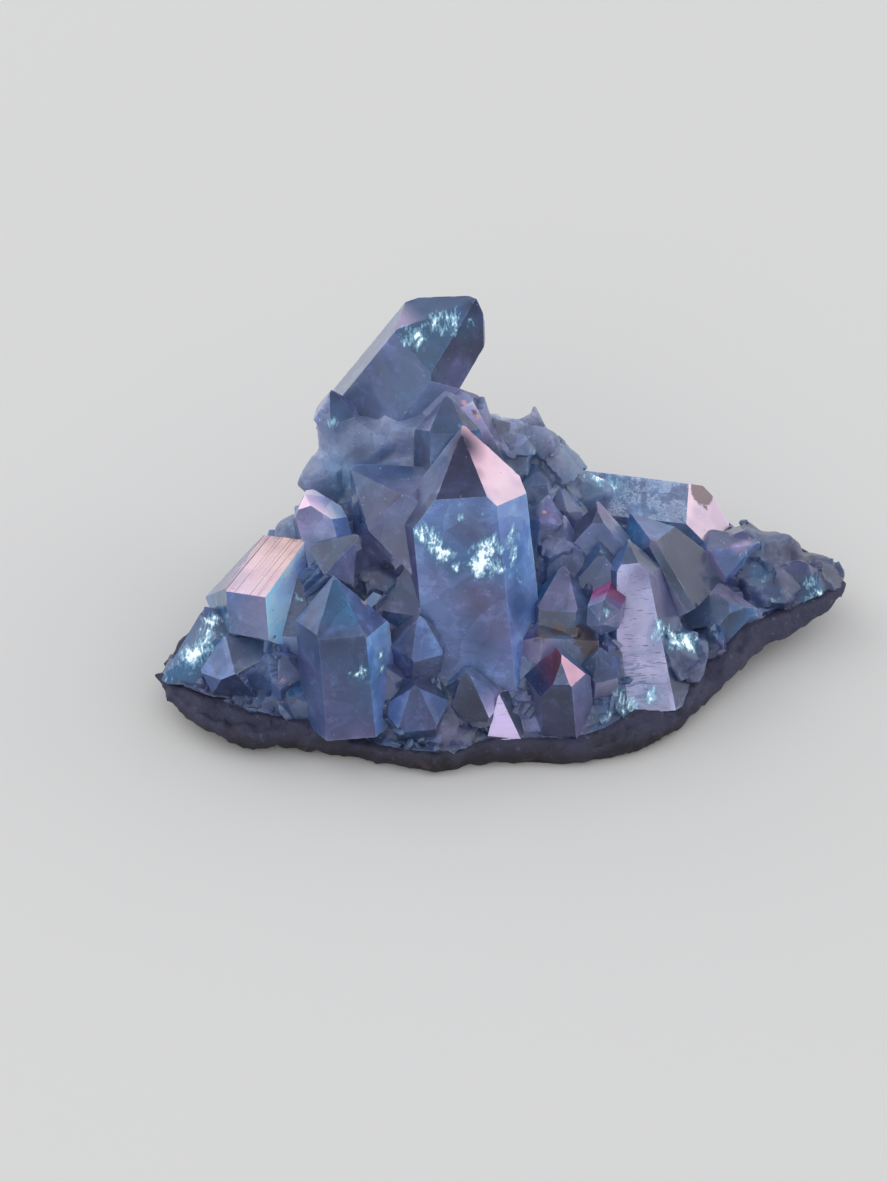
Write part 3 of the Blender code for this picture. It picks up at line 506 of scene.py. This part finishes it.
quartzShape = {
    "node": "quartz_crystals", "weld": 0.002, "flatWithin": 0.8, "splits": (3.0, 1.4, 0.75, 0.5),
    "fewestCuts": 40, "sliver": 0.01, "seed": 11, "sharpAbove": 9.0, "crease": 26.0,
    # flat faces: how far they wave, in wide and narrow waves, and how far their edges are chipped
    "swell": 0.012, "swellSize": 1.3, "wideSwell": 1.6, "wideSize": 4.0, "alike": 0.97,
    "chip": 0.05, "chipSize": 0.6, "chipShare": 0.15,
    # rounded places: lumps, and leaning blocks with an offset for each part of the lean
    "lump": 0.06, "lumpSize": 1.3, "fineLump": 0.6, "fineSize": 0.5, "block": 3.5, "lean": 0.6,
    "cellStep": 3.7, "shifts": ((9.3, -1.5, -7.9), (0.0, 0.0, 0.0), (6.3, 0.2, -2.7)),
    # which faces are rounded: bends below this angle round most of a small face, or a milky place
    "roundedWithin": 26.0, "softShare": 0.6, "smallFace": 9, "largestMilk": 30, "largestRounded": 12,
    # the low rim beside the rock
    "skirt": 2.4, "skirtRow": dict(tone="dusk", sheen=0.05, clear=0.05, lift=0.7),
    # the rest, chosen by chance
    "plainSheen": (0.0, 0.2), "lilacSheen": 0.35, "plainClear": (0.15, 0.45), "roundedSheen": 0.03,
    "roundedClear": 0.06, "roundedLift": (0.8, 1.15), "waxing": 8, "blockShare": 0.8,
}
# rounded milky quartz: middle, radius, tone, how smooth it is and how blocky
milkyPlaces = (
    (-8.2, 7.0, 17.2, 4.6, "milk", 14, 0.1), (-12.2, 6.6, 16.6, 4.0, "milk", 14, 0.1),
    (-5.8, 8.3, 19.8, 3.2, "milk", 14, 0.1), (-15.0, 7.4, 18.6, 2.4, "milk", 10, 0.3),
    (-15.4, 5.0, 14.8, 3.6, "smoke", 14, 0.15), (-17.4, 2.0, 10.9, 3.6, "smoke", 12, 0.25),
    (-1.6, 8.2, 18.9, 2.6, "smoke", 4, 0.8), (-0.8, 7.2, 16.6, 3.6, "moss", 4, 1.0),
    (2.0, 7.7, 16.2, 3.3, "moss", 4, 1.0), (4.2, 7.2, 13.6, 3.5, "moss", 5, 0.9),
    (6.6, 7.2, 11.4, 3.2, "moss", 6, 0.7), (4.9, -1.8, 9.8, 3.4, "slate", 6, 0.9),
    (-11.6, -4.8, 10.2, 4.2, "ash", 6, 0.9), (-19.8, -8.4, 5.2, 3.6, "slate", 6, 0.8),
    (-10.6, -12.2, 3.2, 3.0, "dusk", 4, 0.9), (15.0, -7.6, 5.8, 3.1, "ash", 6, 0.5),
    (23.6, 1.6, 4.8, 3.4, "dusk", 8, 0.7), (27.5, 4.2, 4.9, 4.0, "dusk", 8, 0.5),
    (23.4, 5.4, 6.2, 3.4, "ash", 8, 0.6), (-3.0, -13.4, 3.0, 3.2, "dusk", 4, 0.8),
)
# what the plain faces are coated with, and how often
plainTones = (("slate", 34), ("steel", 20), ("violet", 8), ("teal", 5), ("ash", 18), ("smoke", 12),
              ("mauve", 6), ("lilac", 3))


def wax(shape, points, upright=True):
    # lets the points slide halfway to the middle of their neighbours
    bmesh.ops.smooth_vert(shape, verts=points, factor=0.5, use_axis_x=True, use_axis_y=True,
                          use_axis_z=upright)


def cutIntoTriangles(shape):
    bmesh.ops.triangulate(shape, faces=[face for face in shape.faces if len(face.verts) > 3])


def splitLongEdges(shape, longest, layer):
    for length in longest:
        for _ in range(6):
            cut = [edge for edge in shape.edges if edge.calc_length() > length * mm]
            if len(cut) < quartzShape["fewestCuts"]:
                break
            bmesh.ops.subdivide_edges(shape, edges=cut, cuts=1)
            cutIntoTriangles(shape)
            bmesh.ops.dissolve_degenerate(shape, dist=quartzShape["sliver"] * mm, edges=shape.edges[:])
            cutIntoTriangles(shape)
        inner = [edge for edge in shape.edges if len(edge.link_faces) == 2
                 and edge.link_faces[0][layer] == edge.link_faces[1][layer]]
        bmesh.ops.beautify_fill(shape, faces=shape.faces[:], edges=inner)


def wholeCopy(node, weld, flatWithin):
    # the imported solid's loose triangles as one closed shape with whole faces
    shape = bmesh.new()
    shape.from_mesh(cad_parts[node].data)
    bmesh.ops.remove_doubles(shape, verts=shape.verts[:], dist=weld * mm)
    if flatWithin:
        bmesh.ops.dissolve_limit(shape, angle_limit=math.radians(flatWithin), verts=shape.verts[:],
                                 edges=shape.edges[:])
    return shape


def isRounded(face, within):
    # True for a face of the milky mass, which meets its neighbours at small angles
    soft = whole = 0.0
    for edge in face.edges:
        length = edge.calc_length()
        whole += length
        if len(edge.link_faces) == 2 and abs(edge.calc_face_angle_signed(0.0)) < math.radians(within):
            soft += length
    return soft > quartzShape["softShare"] * whole and face.calc_area() < quartzShape["smallFace"] * mm * mm


def facetTable(shape):
    # for each whole face: its tone or pair of tones, its finish and the direction of its grain
    size = quartzShape
    dice = random.Random(size["seed"])
    names = [name for name, often in plainTones for _ in range(often)]
    rows = []
    for face in shape.faces:
        centre = face.calc_center_median() / mm
        milk = [place for place in milkyPlaces if (centre - Vector(place[:3])).length < place[3]]
        largest = size["largestMilk" if milk and milk[0][4] == "milk" else "largestRounded"]
        rounded = (bool(milk and face.calc_area() < largest * mm * mm)
                   or isRounded(face, size["roundedWithin"]))
        normal = face.normal
        up = Vector((0, 0, 1)) - normal * normal.z
        along = up.normalized() if up.length > 0.1 else Vector((1, 0, 0)).cross(normal).normalized()
        name = dice.choice(names)
        sheen = size["lilacSheen"] if name == "lilac" else dice.uniform(*size["plainSheen"])
        row = dict(tone=name, sheen=sheen, clear=dice.uniform(*size["plainClear"]), rounded=rounded,
                   along=along, normal=normal.copy(), waxing=size["waxing"], block=size["blockShare"])
        if rounded:
            row.update(tone=milk[0][4] if milk else "slate", sheen=size["roundedSheen"],
                       clear=size["roundedClear"], lift=dice.uniform(*size["roundedLift"]))
        if rounded and milk:
            row.update(waxing=milk[0][5], block=milk[0][6])
        if centre.z < size["skirt"] and normal.z < 0.5:
            row.update(size["skirtRow"])
        rows.append(row)
    tree = BVHTree.FromBMesh(shape)
    for name, face in facets.items():
        spot, normal, index, gap = tree.find_nearest(Vector(face["at"]) * mm)
        rows[index].update(face, rounded=False)
        if "along" in face:
            rows[index]["along"] = Vector(face["along"]).normalized()
        if gap > 0.4 * mm:
            print(f"quartz: {name} is {gap / mm:.1f} mm from its face")
    return rows


def blockRelief(place, size):
    # leaning facets, one to each cell: how far they stand out in millimetres
    cell = noise.voronoi(place / size)[1][0]
    lean = Vector([noise.noise(cell * quartzShape["cellStep"] + Vector(shift))
                   for shift in quartzShape["shifts"]])
    return size * (place / size - cell).dot(lean) * quartzShape["lean"]


def shapeQuartz():
    size = quartzShape
    shape = wholeCopy(size["node"], size["weld"], size["flatWithin"])
    rows = facetTable(shape)
    layer = shape.faces.layers.int.new("facet")
    for face in shape.faces:
        face[layer] = face.index
    cutIntoTriangles(shape)
    splitLongEdges(shape, size["splits"], layer)
    soft = [(vert, max(rows[face[layer]]["waxing"] for face in vert.link_faces)) for vert in shape.verts
            if all(rows[face[layer]]["rounded"] for face in vert.link_faces)]
    for step in range(max(waxing for vert, waxing in soft)):
        wax(shape, [vert for vert, waxing in soft if waxing > step])
    shape.normal_update()
    pushes = []
    # rim: the points on sharp edges, chipped here and paled in the material, partly as wear, partly as
    # painted highlight
    edgeWearAndHighlight = shape.verts.layers.float.new("rim")
    for vert in shape.verts:
        ids = {face[layer] for face in vert.link_faces}
        place = vert.co / mm
        normals = [rows[index]["normal"] for index in ids]
        spread = min((a.dot(b) for a in normals for b in normals), default=1.0)
        rounded = all(rows[index]["rounded"] for index in ids)
        if rounded:
            blocky = sum(rows[index]["block"] for index in ids) / len(ids)
            push = (size["lump"] * (noise.noise(place / size["lumpSize"])
                                    + size["fineLump"] * noise.noise(place / size["fineSize"]))
                    + blocky * blockRelief(place, size["block"]))
        elif spread > size["alike"]:
            push = size["swell"] * (noise.noise(place / size["swellSize"])
                                    + size["wideSwell"] * noise.noise(place / size["wideSize"]))
        else:
            push = -size["chip"] * max(0.0, noise.noise(place / size["chipSize"]) + size["chipShare"])
            vert[edgeWearAndHighlight] = 1.0
        pushes.append(push)
    moveOut(shape, pushes)
    shape.normal_update()
    for edge in shape.edges:
        if len(edge.link_faces) == 2:
            first, second = (face[layer] for face in edge.link_faces)
            bend = rows[first]["normal"].angle(rows[second]["normal"], 0.0)
            if rows[first]["rounded"] and rows[second]["rounded"]:
                smooth = edge.calc_face_angle(0.0) < math.radians(size["crease"])
            else:
                smooth = first == second or bend < math.radians(size["sharpAbove"])
            edge.smooth = smooth
    for face in shape.faces:
        face.smooth = True
    return meshOf(shape, "quartz_points"), rows


def near(points, places, reach=1.3):
    # how strongly each point is marked by the nearest of these places, 0 to 1, out to reach radii
    amount = np.zeros(len(points), np.float32)
    for x, y, z, radius, strength in places:
        gap = np.linalg.norm(points - (x, y, z), axis=1)
        amount = np.maximum(amount, strength * np.clip(reach - gap / radius, 0, 1))
    return np.minimum(amount, 1)


fade = {"span": 0.7, "start": 0.15}


def dressQuartz(mesh, rows):
    # writes what the material reads: tone, finish and patterns for each face corner, patches for each
    # point, and a flat map of every face in millimetres with its grain upright; a fade starts a little
    # before its face's own point and ends a little past the other one
    points = np.empty(len(mesh.vertices) * 3, np.float32)
    mesh.vertices.foreach_get("co", points)
    points = points.reshape(-1, 3) / mm
    corner = np.empty(len(mesh.loops), np.int32)
    mesh.loops.foreach_get("vertex_index", corner)
    facet = np.empty(len(mesh.polygons), np.int32)
    mesh.attributes["facet"].data.foreach_get("value", facet)
    facet = np.repeat(facet, 3)
    spots = points[corner]

    def column(name, fallback=0.0):
        return np.array([row.get(name, fallback) for row in rows], np.float32)[facet]

    start = np.array([tones[row["tone"]][:3] for row in rows])[facet]
    end = np.array([tones[row.get("fade", row["tone"])][:3] for row in rows])[facet]
    origin = np.array([row.get("at", (0, 0, 0)) for row in rows])[facet]
    reach = np.array([row.get("to", (1, 0, 0)) for row in rows])[facet] - origin
    share = ((spots - origin) * reach).sum(1) / np.maximum((reach ** 2).sum(1), 0.01)
    share = np.clip(share * fade["span"] + fade["start"], 0, 1)[:, None]
    # lift is painted light and shade: a named face that the lamps leave in shade is painted lighter, one that
    # catches their light darker; rounded faces get a lift by chance
    colour = (start + (end - start) * share) * column("lift", 1.0)[:, None]
    for tone, places in shades.items():
        amount = near(points, places)[corner][:, None]
        colour += (np.array(tones[tone][:3]) - colour) * amount
    layer = mesh.color_attributes.new("tone", "FLOAT_COLOR", "CORNER")
    filled = np.column_stack([colour, np.ones(len(colour))])
    layer.data.foreach_set("color", filled.astype(np.float32).ravel())
    sheen = column("sheen")
    lost = sheen - np.array([row.get("fadeSheen", row["sheen"]) for row in rows], np.float32)[facet]
    written = {name: column(name) for name in ("clear", "stripes", "bricks", "speckle", "broken")}
    written["sheen"] = sheen - lost * share[:, 0].astype(np.float32)
    written["milky"] = column("rounded")
    for name, values in written.items():
        layer = mesh.attributes.new(name, "FLOAT", "CORNER")
        layer.data.foreach_set("value", values)
    for name, places in patches.items():
        layer = mesh.attributes.new(name, "FLOAT", "POINT")
        layer.data.foreach_set("value", near(points, places))
    along = np.array([row["along"] for row in rows])
    across = np.cross(along, np.array([row["normal"] for row in rows]))
    flat = np.column_stack([(spots * across[facet]).sum(1), (spots * along[facet]).sum(1)])
    layer = mesh.uv_layers.new(name="facePlane")
    layer.uv.foreach_set("vector", flat.astype(np.float32).ravel())


quartzFinish = {
    # the clear quartz, the coating on it, the light that the milky inside passes on, and a painted glow: the
    # coating gives off a little of its own colour as light, which lightens its shade
    "index": 1.54, "absorbColour": (0.25, 0.55, 0.82, 1.0), "absorbDensity": 70.0,
    "glass": (0.86, 0.92, 1.0, 1.0), "glassRoughness": 0.06,
    "roughness": 0.36, "coat": 0.5, "coatRoughness": 0.06, "coatIndex": 1.5,
    "relief": 0.00005, "reliefShare": 0.35, "brokenRelief": 0.6,
    "paintedGlow": 0.34, "paintedGlowShare": 0.2, "under": 0.6, "underRadius": (1.0, 1.15, 1.4), "underScale": 0.0015,
    # how large the patterns are, in millimetres
    "clouds": 4.5, "drifts": 5.5, "wisps": 1.7, "frost": 1.5, "ragged": 0.8, "cracks": 0.8, "streaks": 0.35,
    "bumps": 0.6, "dotsPerMm": 2.1, "bend": 0.9, "bendPerMm": 0.5,
    # colours by chance: how strongly they show and the colours, and for the inner planes their size
    "drift": (0.7, ((0.3, (0.30, 0.58, 0.70, 1)), (0.45, (0.45, 0.53, 0.60, 1)),
                    (0.56, (0.54, 0.52, 0.57, 1)), (0.7, (0.62, 0.46, 0.60, 1)))),
    "planes": (
        (3.2, 0.5, ((0.0, (0.22, 0.26, 0.34, 1)), (0.35, (0.45, 0.48, 0.53, 1)),
                    (0.7, (0.56, 0.57, 0.60, 1)), (1.0, (0.78, 0.79, 0.83, 1)))),
        (1.25, 0.35, ((0.0, (0.32, 0.35, 0.42, 1)), (0.5, (0.5, 0.5, 0.53, 1)),
                      (1.0, (0.70, 0.73, 0.77, 1)))),
    ),
}
# what is laid over the tone: how strongly, its colour and how it blends
quartzLayers = {
    "shade": (0.4, (0.30, 0.34, 0.46, 1.0), "MULTIPLY"), "veil": (0.42, (0.86, 0.89, 0.94, 1.0), "OVERLAY"),
    "haze": (0.12, tones["smoke"]), "milkVeil": (0.4, tones["smoke"]), "hollow": (0.4, tones["hollow"]),
    "lines": (0.22, tones["dash"]), "dust": (0.7, paint(44, 42, 56)), "stripe": (0.8, paint(78, 74, 92)),
    "dash": (0.8, tones["dash"]), "wave": (0.85, tones["slate"]), "frost": (0.5, tones["hollow"]),
    "stain": (0.85, paint(76, 60, 62)), "ember": (0.8, paint(236, 178, 180)),
    # the next three are the painted highlights of the glints: teal around, pale blue within, white at their
    # cores
    "paintedGlintZone": (0.6, tones["teal"]), "glint": (0.75, paint(150, 214, 240)), "spark": (0.95, tones["spark"]),
    # rim pales the edges: partly wear, partly painted highlight
    "rim": (0.15, tones["fleck"]),
}


def quartzMaterial():
    made, wire, place = startMaterial("coated_quartz")
    look = quartzFinish
    tone = attribute(wire, "tone", "Color")
    sheen = attribute(wire, "sheen")
    clear = attribute(wire, "clear")
    milky = attribute(wire, "milky")
    flat = wire.node("ShaderNodeUVMap", {"uv_map": "facePlane"})
    plain = wire.maths("MAXIMUM", 1 - sheen * 1.6, 0.0)

    def lay(name, amount):
        nonlocal body
        shown, colour, *how = quartzLayers[name]
        body = mixColour(wire, amount * shown, body, colour, *how)

    # clouds, veils and inner planes
    clouds = grain(place, look["clouds"], 2.0, 0.6)
    shown, stops = look["drift"]
    drift = wire.node("ShaderNodeValToRGB", {"stops": stops}, {0: grain(place, look["drifts"], 1.0, 0.5)})
    body = mixColour(wire, plain * shown, tone, drift, "SOFT_LIGHT")
    lay("shade", between(clouds, 0.6, 0.35))
    bent = wire.node("ShaderNodeVectorMath", {"operation": "MULTIPLY_ADD"}, {
        0: wire.node("ShaderNodeTexNoise", {},
                     {"Vector": place, "Scale": look["bendPerMm"], "Detail": 1.0}, "Color"),
        1: (look["bend"],) * 3, 2: place})
    for size, shown, stops in look["planes"]:
        cell = wire.node("ShaderNodeTexVoronoi", {}, {"Vector": bent, "Scale": 1 / size}, "Color")
        pick = wire.node("ShaderNodeSeparateColor", {}, {0: cell})
        plane = wire.node("ShaderNodeValToRGB", {"stops": stops}, {0: pick})
        body = mixColour(wire, plain * shown, body, plane, "OVERLAY")
    wisps = grain(bent, look["wisps"], 4.0, 0.65)
    veil = between(wisps, 0.5, 0.72)
    lay("veil", veil * plain)
    lay("haze", veil * plain)
    lay("milkVeil", milky * veil)
    lay("hollow", milky * between(wisps, 0.45, 0.3))

    # growth lines across the crystals
    lay("lines", between(grain(stretched(flat, 0.35, 5.0, 1.0), 1.0, 2.0, 0.6), 0.54, 0.7) * plain)

    # flecks and dust
    dots = wire.node("ShaderNodeTexVoronoi", {}, {"Vector": place, "Scale": look["dotsPerMm"]}, "Distance")
    kind = wire.node("ShaderNodeSeparateColor", {}, {0: dots.also("Color")})
    dot = between(dots, 0.17, 0.08)
    fleck = dot * between(kind, 0.72, 0.78)
    speckle = attribute(wire, "speckle")
    body = mixColour(wire, fleck * (plain * 0.25 + speckle * 0.6), body, tones["fleck"])
    lay("dust", dot * between(kind, 0.2, 0.15))

    # stripes on the pink face, and dashes on the long one
    stripe = between(grain(stretched(flat, 3.4, 0.02, 1.0), 1.0, 3.0, 0.75), 0.5, 0.57)
    lay("stripe", attribute(wire, "stripes") * stripe)
    dash = between(grain(stretched(flat, 0.8, 6.0, 1.0), 1.0, 1.0, 0.5), 0.64, 0.7)
    lay("dash", attribute(wire, "bricks") * dash)
    wave = between(grain(stretched(flat, 0.5, 2.2, 1.0), 1.0, 1.0, 0.5, 1.2), 0.5, 0.58)
    lay("wave", attribute(wire, "wavy") * wave)

    # the broken face: frosted, with hair cracks
    broken = attribute(wire, "broken")
    frost = grain(bent, look["frost"], 4.0, 0.72)
    hair = between(wire.maths("ABSOLUTE", frost - 0.5), 0.035, 0.0)
    lay("frost", broken * between(frost, 0.5, 0.32))
    pale = between(frost, 0.5, 0.7) * 0.5 + hair * 0.5
    body = mixColour(wire, broken * pale, body, tones["line"])

    # stains and rosy spots, then the glints: painted highlights, bright reflections of cracks inside, teal
    # around, white at their cores
    ragged = grain(place, look["ragged"], 3.0, 0.7, 1.0)
    stain = between(attribute(wire, "stain") + (ragged - 0.5) * 1.0, 0.45, 0.75)
    lay("stain", stain)
    lay("ember", between(attribute(wire, "ember") + (ragged - 0.5) * 1.6, 0.55, 0.85))
    paintedGlintZone = attribute(wire, "glint")
    crack = grain(stretched(bent, 1.0, 0.55, 0.7), look["cracks"], 3.0, 0.62)
    streak = grain(stretched(bent, 1.8, 0.5, 0.7), look["streaks"], 2.0, 0.6)
    flash = paintedGlintZone + (crack - 0.5) * 2.6 + (streak - 0.5) * 1.2
    glint = between(flash, 0.56, 1.15)
    spark = between(flash, 0.98, 1.22)
    lay("paintedGlintZone", paintedGlintZone)
    lay("glint", glint)
    lay("spark", spark)

    # worn edges, paler: partly wear, partly a painted highlight along them
    lay("rim", between(attribute(wire, "rim") + (ragged - 0.5) * 0.8, 0.88, 1.1))

    smooth = look["roughness"] - sheen * 0.2 + (clouds - 0.5) * 0.24 + milky * 0.08 + broken * 0.1
    relief = grain(place, look["bumps"], 2.0, 0.6)
    raised = relief * (look["reliefShare"] + broken * look["brokenRelief"])
    normal = wire.node("ShaderNodeBump", {}, {"Strength": 1.0, "Distance": look["relief"], "Height": raised})
    # painted glow: a fifth of the coating's colour is given off as light, lightening the shade in the
    # crevices, and the glints glow white
    paintedGlow = mixColour(wire, look["paintedGlowShare"], (0, 0, 0, 1), body)
    coated = wire.node("ShaderNodeBsdfPrincipled", {}, {
        "Base Color": body, "Metallic": sheen, "Roughness": smooth, "Coat Weight": look["coat"],
        "Coat Roughness": look["coatRoughness"], "Coat IOR": look["coatIndex"], "Normal": normal,
        "Emission Color": mixColour(wire, glint * 0.25 + spark * 0.75, paintedGlow, tones["spark"]),
        "Emission Strength": look["paintedGlow"], "Subsurface Weight": look["under"],
        "Subsurface Radius": look["underRadius"], "Subsurface Scale": look["underScale"],
    })
    glass = wire.node("ShaderNodeBsdfPrincipled", {}, {
        "Base Color": look["glass"], "Transmission Weight": 1.0, "IOR": look["index"],
        "Roughness": look["glassRoughness"], "Normal": normal,
    })
    see = clear * (1 - glint * 0.8) * (1 - stain) * (1 - veil * 0.5)
    surface = wire.node("ShaderNodeMixShader", {}, {0: see, 1: coated, 2: glass})
    volume = wire.node("ShaderNodeVolumeAbsorption", {},
                       {"Color": look["absorbColour"], "Density": look["absorbDensity"]})
    wire.node("ShaderNodeOutputMaterial", {}, {"Surface": surface, "Volume": volume})
    return made


def makeQuartz():
    mesh, rows = shapeQuartz()
    dressQuartz(mesh, rows)
    mesh.materials.append(quartzMaterial())
    quartz = added("quartz_points", mesh)
    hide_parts("quartz_crystals")
    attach(quartz, "root")
    print(f"quartz: {len(mesh.polygons)} triangles, {sum(row['rounded'] for row in rows)} rounded faces")
    return quartz


druseShape = {
    "length": 1.5, "width": 0.9, "tip": 0.55, "sunk": 0.5, "corners": (0.92, 1.15), "offCentre": (0.06, 0.03),
    "highest": 11.5, "bareRim": 0.4, "steepest": -0.2,
    "sizes": {"Spacing": 0.0008, "Smallest": 0.4, "Largest": 1.1, "Lean": 0.5, "Sheen": 0.5, "Clear": 0.45,
              "Seed": 6},
    "tones": ((0.0, tones["dusk"]), (0.2, tones["slate"]), (0.4, tones["ash"]), (0.6, tones["smoke"]),
              (0.8, tones["steel"]), (0.93, tones["mauve"]), (1.0, tones["orchid"])),
}


def smallPoint():
    # one six-sided point, closed, standing on z = 0 with its root below
    shape = bmesh.new()
    size = druseShape
    rings = []
    for height in (-size["sunk"], size["length"] - size["tip"]):
        ring = []
        for side in range(6):
            angle = math.radians(60 * side)
            reach = size["width"] / 2 * size["corners"][side % 2]
            corner = Vector((math.cos(angle) * reach, math.sin(angle) * reach, height))
            ring.append(shape.verts.new(corner * mm))
        rings.append(ring)
    tip = shape.verts.new(Vector((*size["offCentre"], size["length"])) * mm)
    for side in range(6):
        after = (side + 1) % 6
        shape.faces.new((rings[0][side], rings[0][after], rings[1][after], rings[1][side]))
        shape.faces.new((rings[1][side], rings[1][after], tip))
    shape.faces.new(rings[0][::-1])
    bmesh.ops.recalc_face_normals(shape, faces=shape.faces[:])
    return meshOf(shape, "small_point")


def makeDruse(quartz):
    milky = np.zeros(len(quartz.data.loops), np.float32)
    quartz.data.attributes["milky"].data.foreach_get("value", milky)

    def wanted(face):
        middle = face.calc_center_median() / mm
        bare = any((middle - Vector(place[:3])).length < place[3] + druseShape["bareRim"]
                   for place in milkyPlaces)
        return (milky[face.index * 3] > 0.5 and face.normal.z > druseShape["steepest"] and not bare
                and middle.z < druseShape["highest"])

    shape = bmesh.new()
    shape.from_mesh(quartz.data)
    bmesh.ops.delete(shape, geom=[face for face in shape.faces if not wanted(face)], context="FACES")
    druse = scatter("druse_points", meshOf(shape, "milky_part"), smallPoint(), quartz.data.materials[0],
                    druseShape["sizes"], druseShape["tones"])
    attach(druse, "root")


rockShape = {
    "node": "matrix", "weld": 0.002, "splits": (2.0, 0.9, 0.45), "coarse": 0.30, "coarseSize": 1.7,
    "fine": 0.16, "fineSize": 0.5, "groove": 0.22, "grooveWidth": 0.25, "grooveRest": 0.7, "blockSize": 1.5,
    # the seat under the crystals: how near it is to them and how far it is raised into them
    "seatReach": 0.75, "seatLift": 0.42, "thinEnd": -23.5, "thinLift": 0.1, "seatRelief": 0.3,
    # the flat underside keeps its plane, and the first bit above it moves less
    "flatBelow": 0.02, "calmBelow": 0.15, "calmShare": 0.3, "waxing": 3,
}
rockFinish = {
    "dark": paint(20, 18, 30), "brown": paint(40, 34, 48), "violet": paint(60, 61, 86),
    "pale": paint(104, 104, 128), "rust": paint(74, 50, 56),
    # sizes and heights in millimetres; the violet coating starts between two heights, with a ragged edge
    "broadSize": 3.0, "fineSize": 0.7, "rustSize": 2.0, "gritSize": 0.25, "ragged": 4.0,
    "coatedFrom": (0.7, 2.8), "rustShare": 0.6, "paleBelow": 0.2, "paleAbove": 0.5, "darkShare": 0.6,
    "bump": 0.8, "relief": 0.0002, "roughness": 0.62, "metallic": 0.25,
}


def rockMaterial():
    made, wire, place = startMaterial("matrix_rock")
    look = rockFinish
    broad = grain(place, look["broadSize"], 4.0, 0.6)
    fine = grain(place, look["fineSize"], 5.0, 0.65)
    height = wire.node("ShaderNodeSeparateXYZ", {}, {0: place}, "Z")
    body = mixColour(wire, between(broad, 0.35, 0.65), look["dark"], look["brown"])
    coated = between(height + (broad - 0.5) * look["ragged"], *look["coatedFrom"])
    body = mixColour(wire, coated, body, look["violet"])
    rust = between(grain(place, look["rustSize"], 4.0, 0.6), 0.58, 0.68)
    body = mixColour(wire, rust * (1 - coated) * look["rustShare"], body, look["rust"])
    fleck = between(fine, 0.58, 0.72) * (look["paleBelow"] + coated * look["paleAbove"])
    body = mixColour(wire, fleck, body, look["pale"])
    body = mixColour(wire, between(fine, 0.42, 0.3) * look["darkShare"], body, look["dark"])
    relief = fine + grain(place, look["gritSize"], 3.0, 0.6) * 0.5
    normal = wire.node("ShaderNodeBump", {}, {
        "Strength": look["bump"], "Distance": look["relief"], "Height": relief})
    shader = wire.node("ShaderNodeBsdfPrincipled", {}, {
        "Base Color": body, "Roughness": look["roughness"] + (fine - 0.5) * 0.5,
        "Metallic": coated * look["metallic"], "Normal": normal,
    })
    wire.node("ShaderNodeOutputMaterial", {}, {"Surface": shader})
    return made


def makeRock():
    size = rockShape
    shape = wholeCopy(size["node"], size["weld"], 0)
    layer = shape.faces.layers.int.new("facet")
    splitLongEdges(shape, size["splits"], layer)
    shape.normal_update()
    crystals = bmesh.new()
    crystals.from_mesh(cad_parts["quartz_crystals"].data)
    crystalTree = BVHTree.FromBMesh(crystals)
    crystals.free()
    pushes = []
    for vert in shape.verts:
        place = vert.co / mm
        gaps = noise.voronoi(place / size["blockSize"])[0]
        groove = min(gaps[1] - gaps[0], size["grooveWidth"]) / size["grooveWidth"]
        push = (size["coarse"] * noise.noise(place / size["coarseSize"])
                + size["fine"] * noise.noise(place / size["fineSize"])
                + size["groove"] * (groove - size["grooveRest"]))
        if crystalTree.find_nearest(vert.co)[3] / mm < size["seatReach"]:
            lift = size["seatLift"] if place.x > size["thinEnd"] else size["thinLift"]
            push = lift + size["seatRelief"] * push
        elif place.z < size["calmBelow"]:
            push = min(push, 0.0) * size["calmShare"] if place.z > size["flatBelow"] else 0.0
        pushes.append(push)
    moveOut(shape, pushes)
    for _ in range(size["waxing"]):
        wax(shape, shape.verts[:], upright=False)
    for vert in shape.verts:
        vert.co.z = max(vert.co.z, 0.0)
    for face in shape.faces:
        face.smooth = True
    mesh = meshOf(shape, "rock_rind")
    mesh.materials.append(rockMaterial())
    rock = added("rock_rind", mesh)
    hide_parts("matrix")
    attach(rock, "root")
    print(f"rock: {len(mesh.polygons)} triangles")
    return rock


aimCamera()
lightStudio()
print("camera, floor and light are set")
makeDruse(makeQuartz())
makeRock()
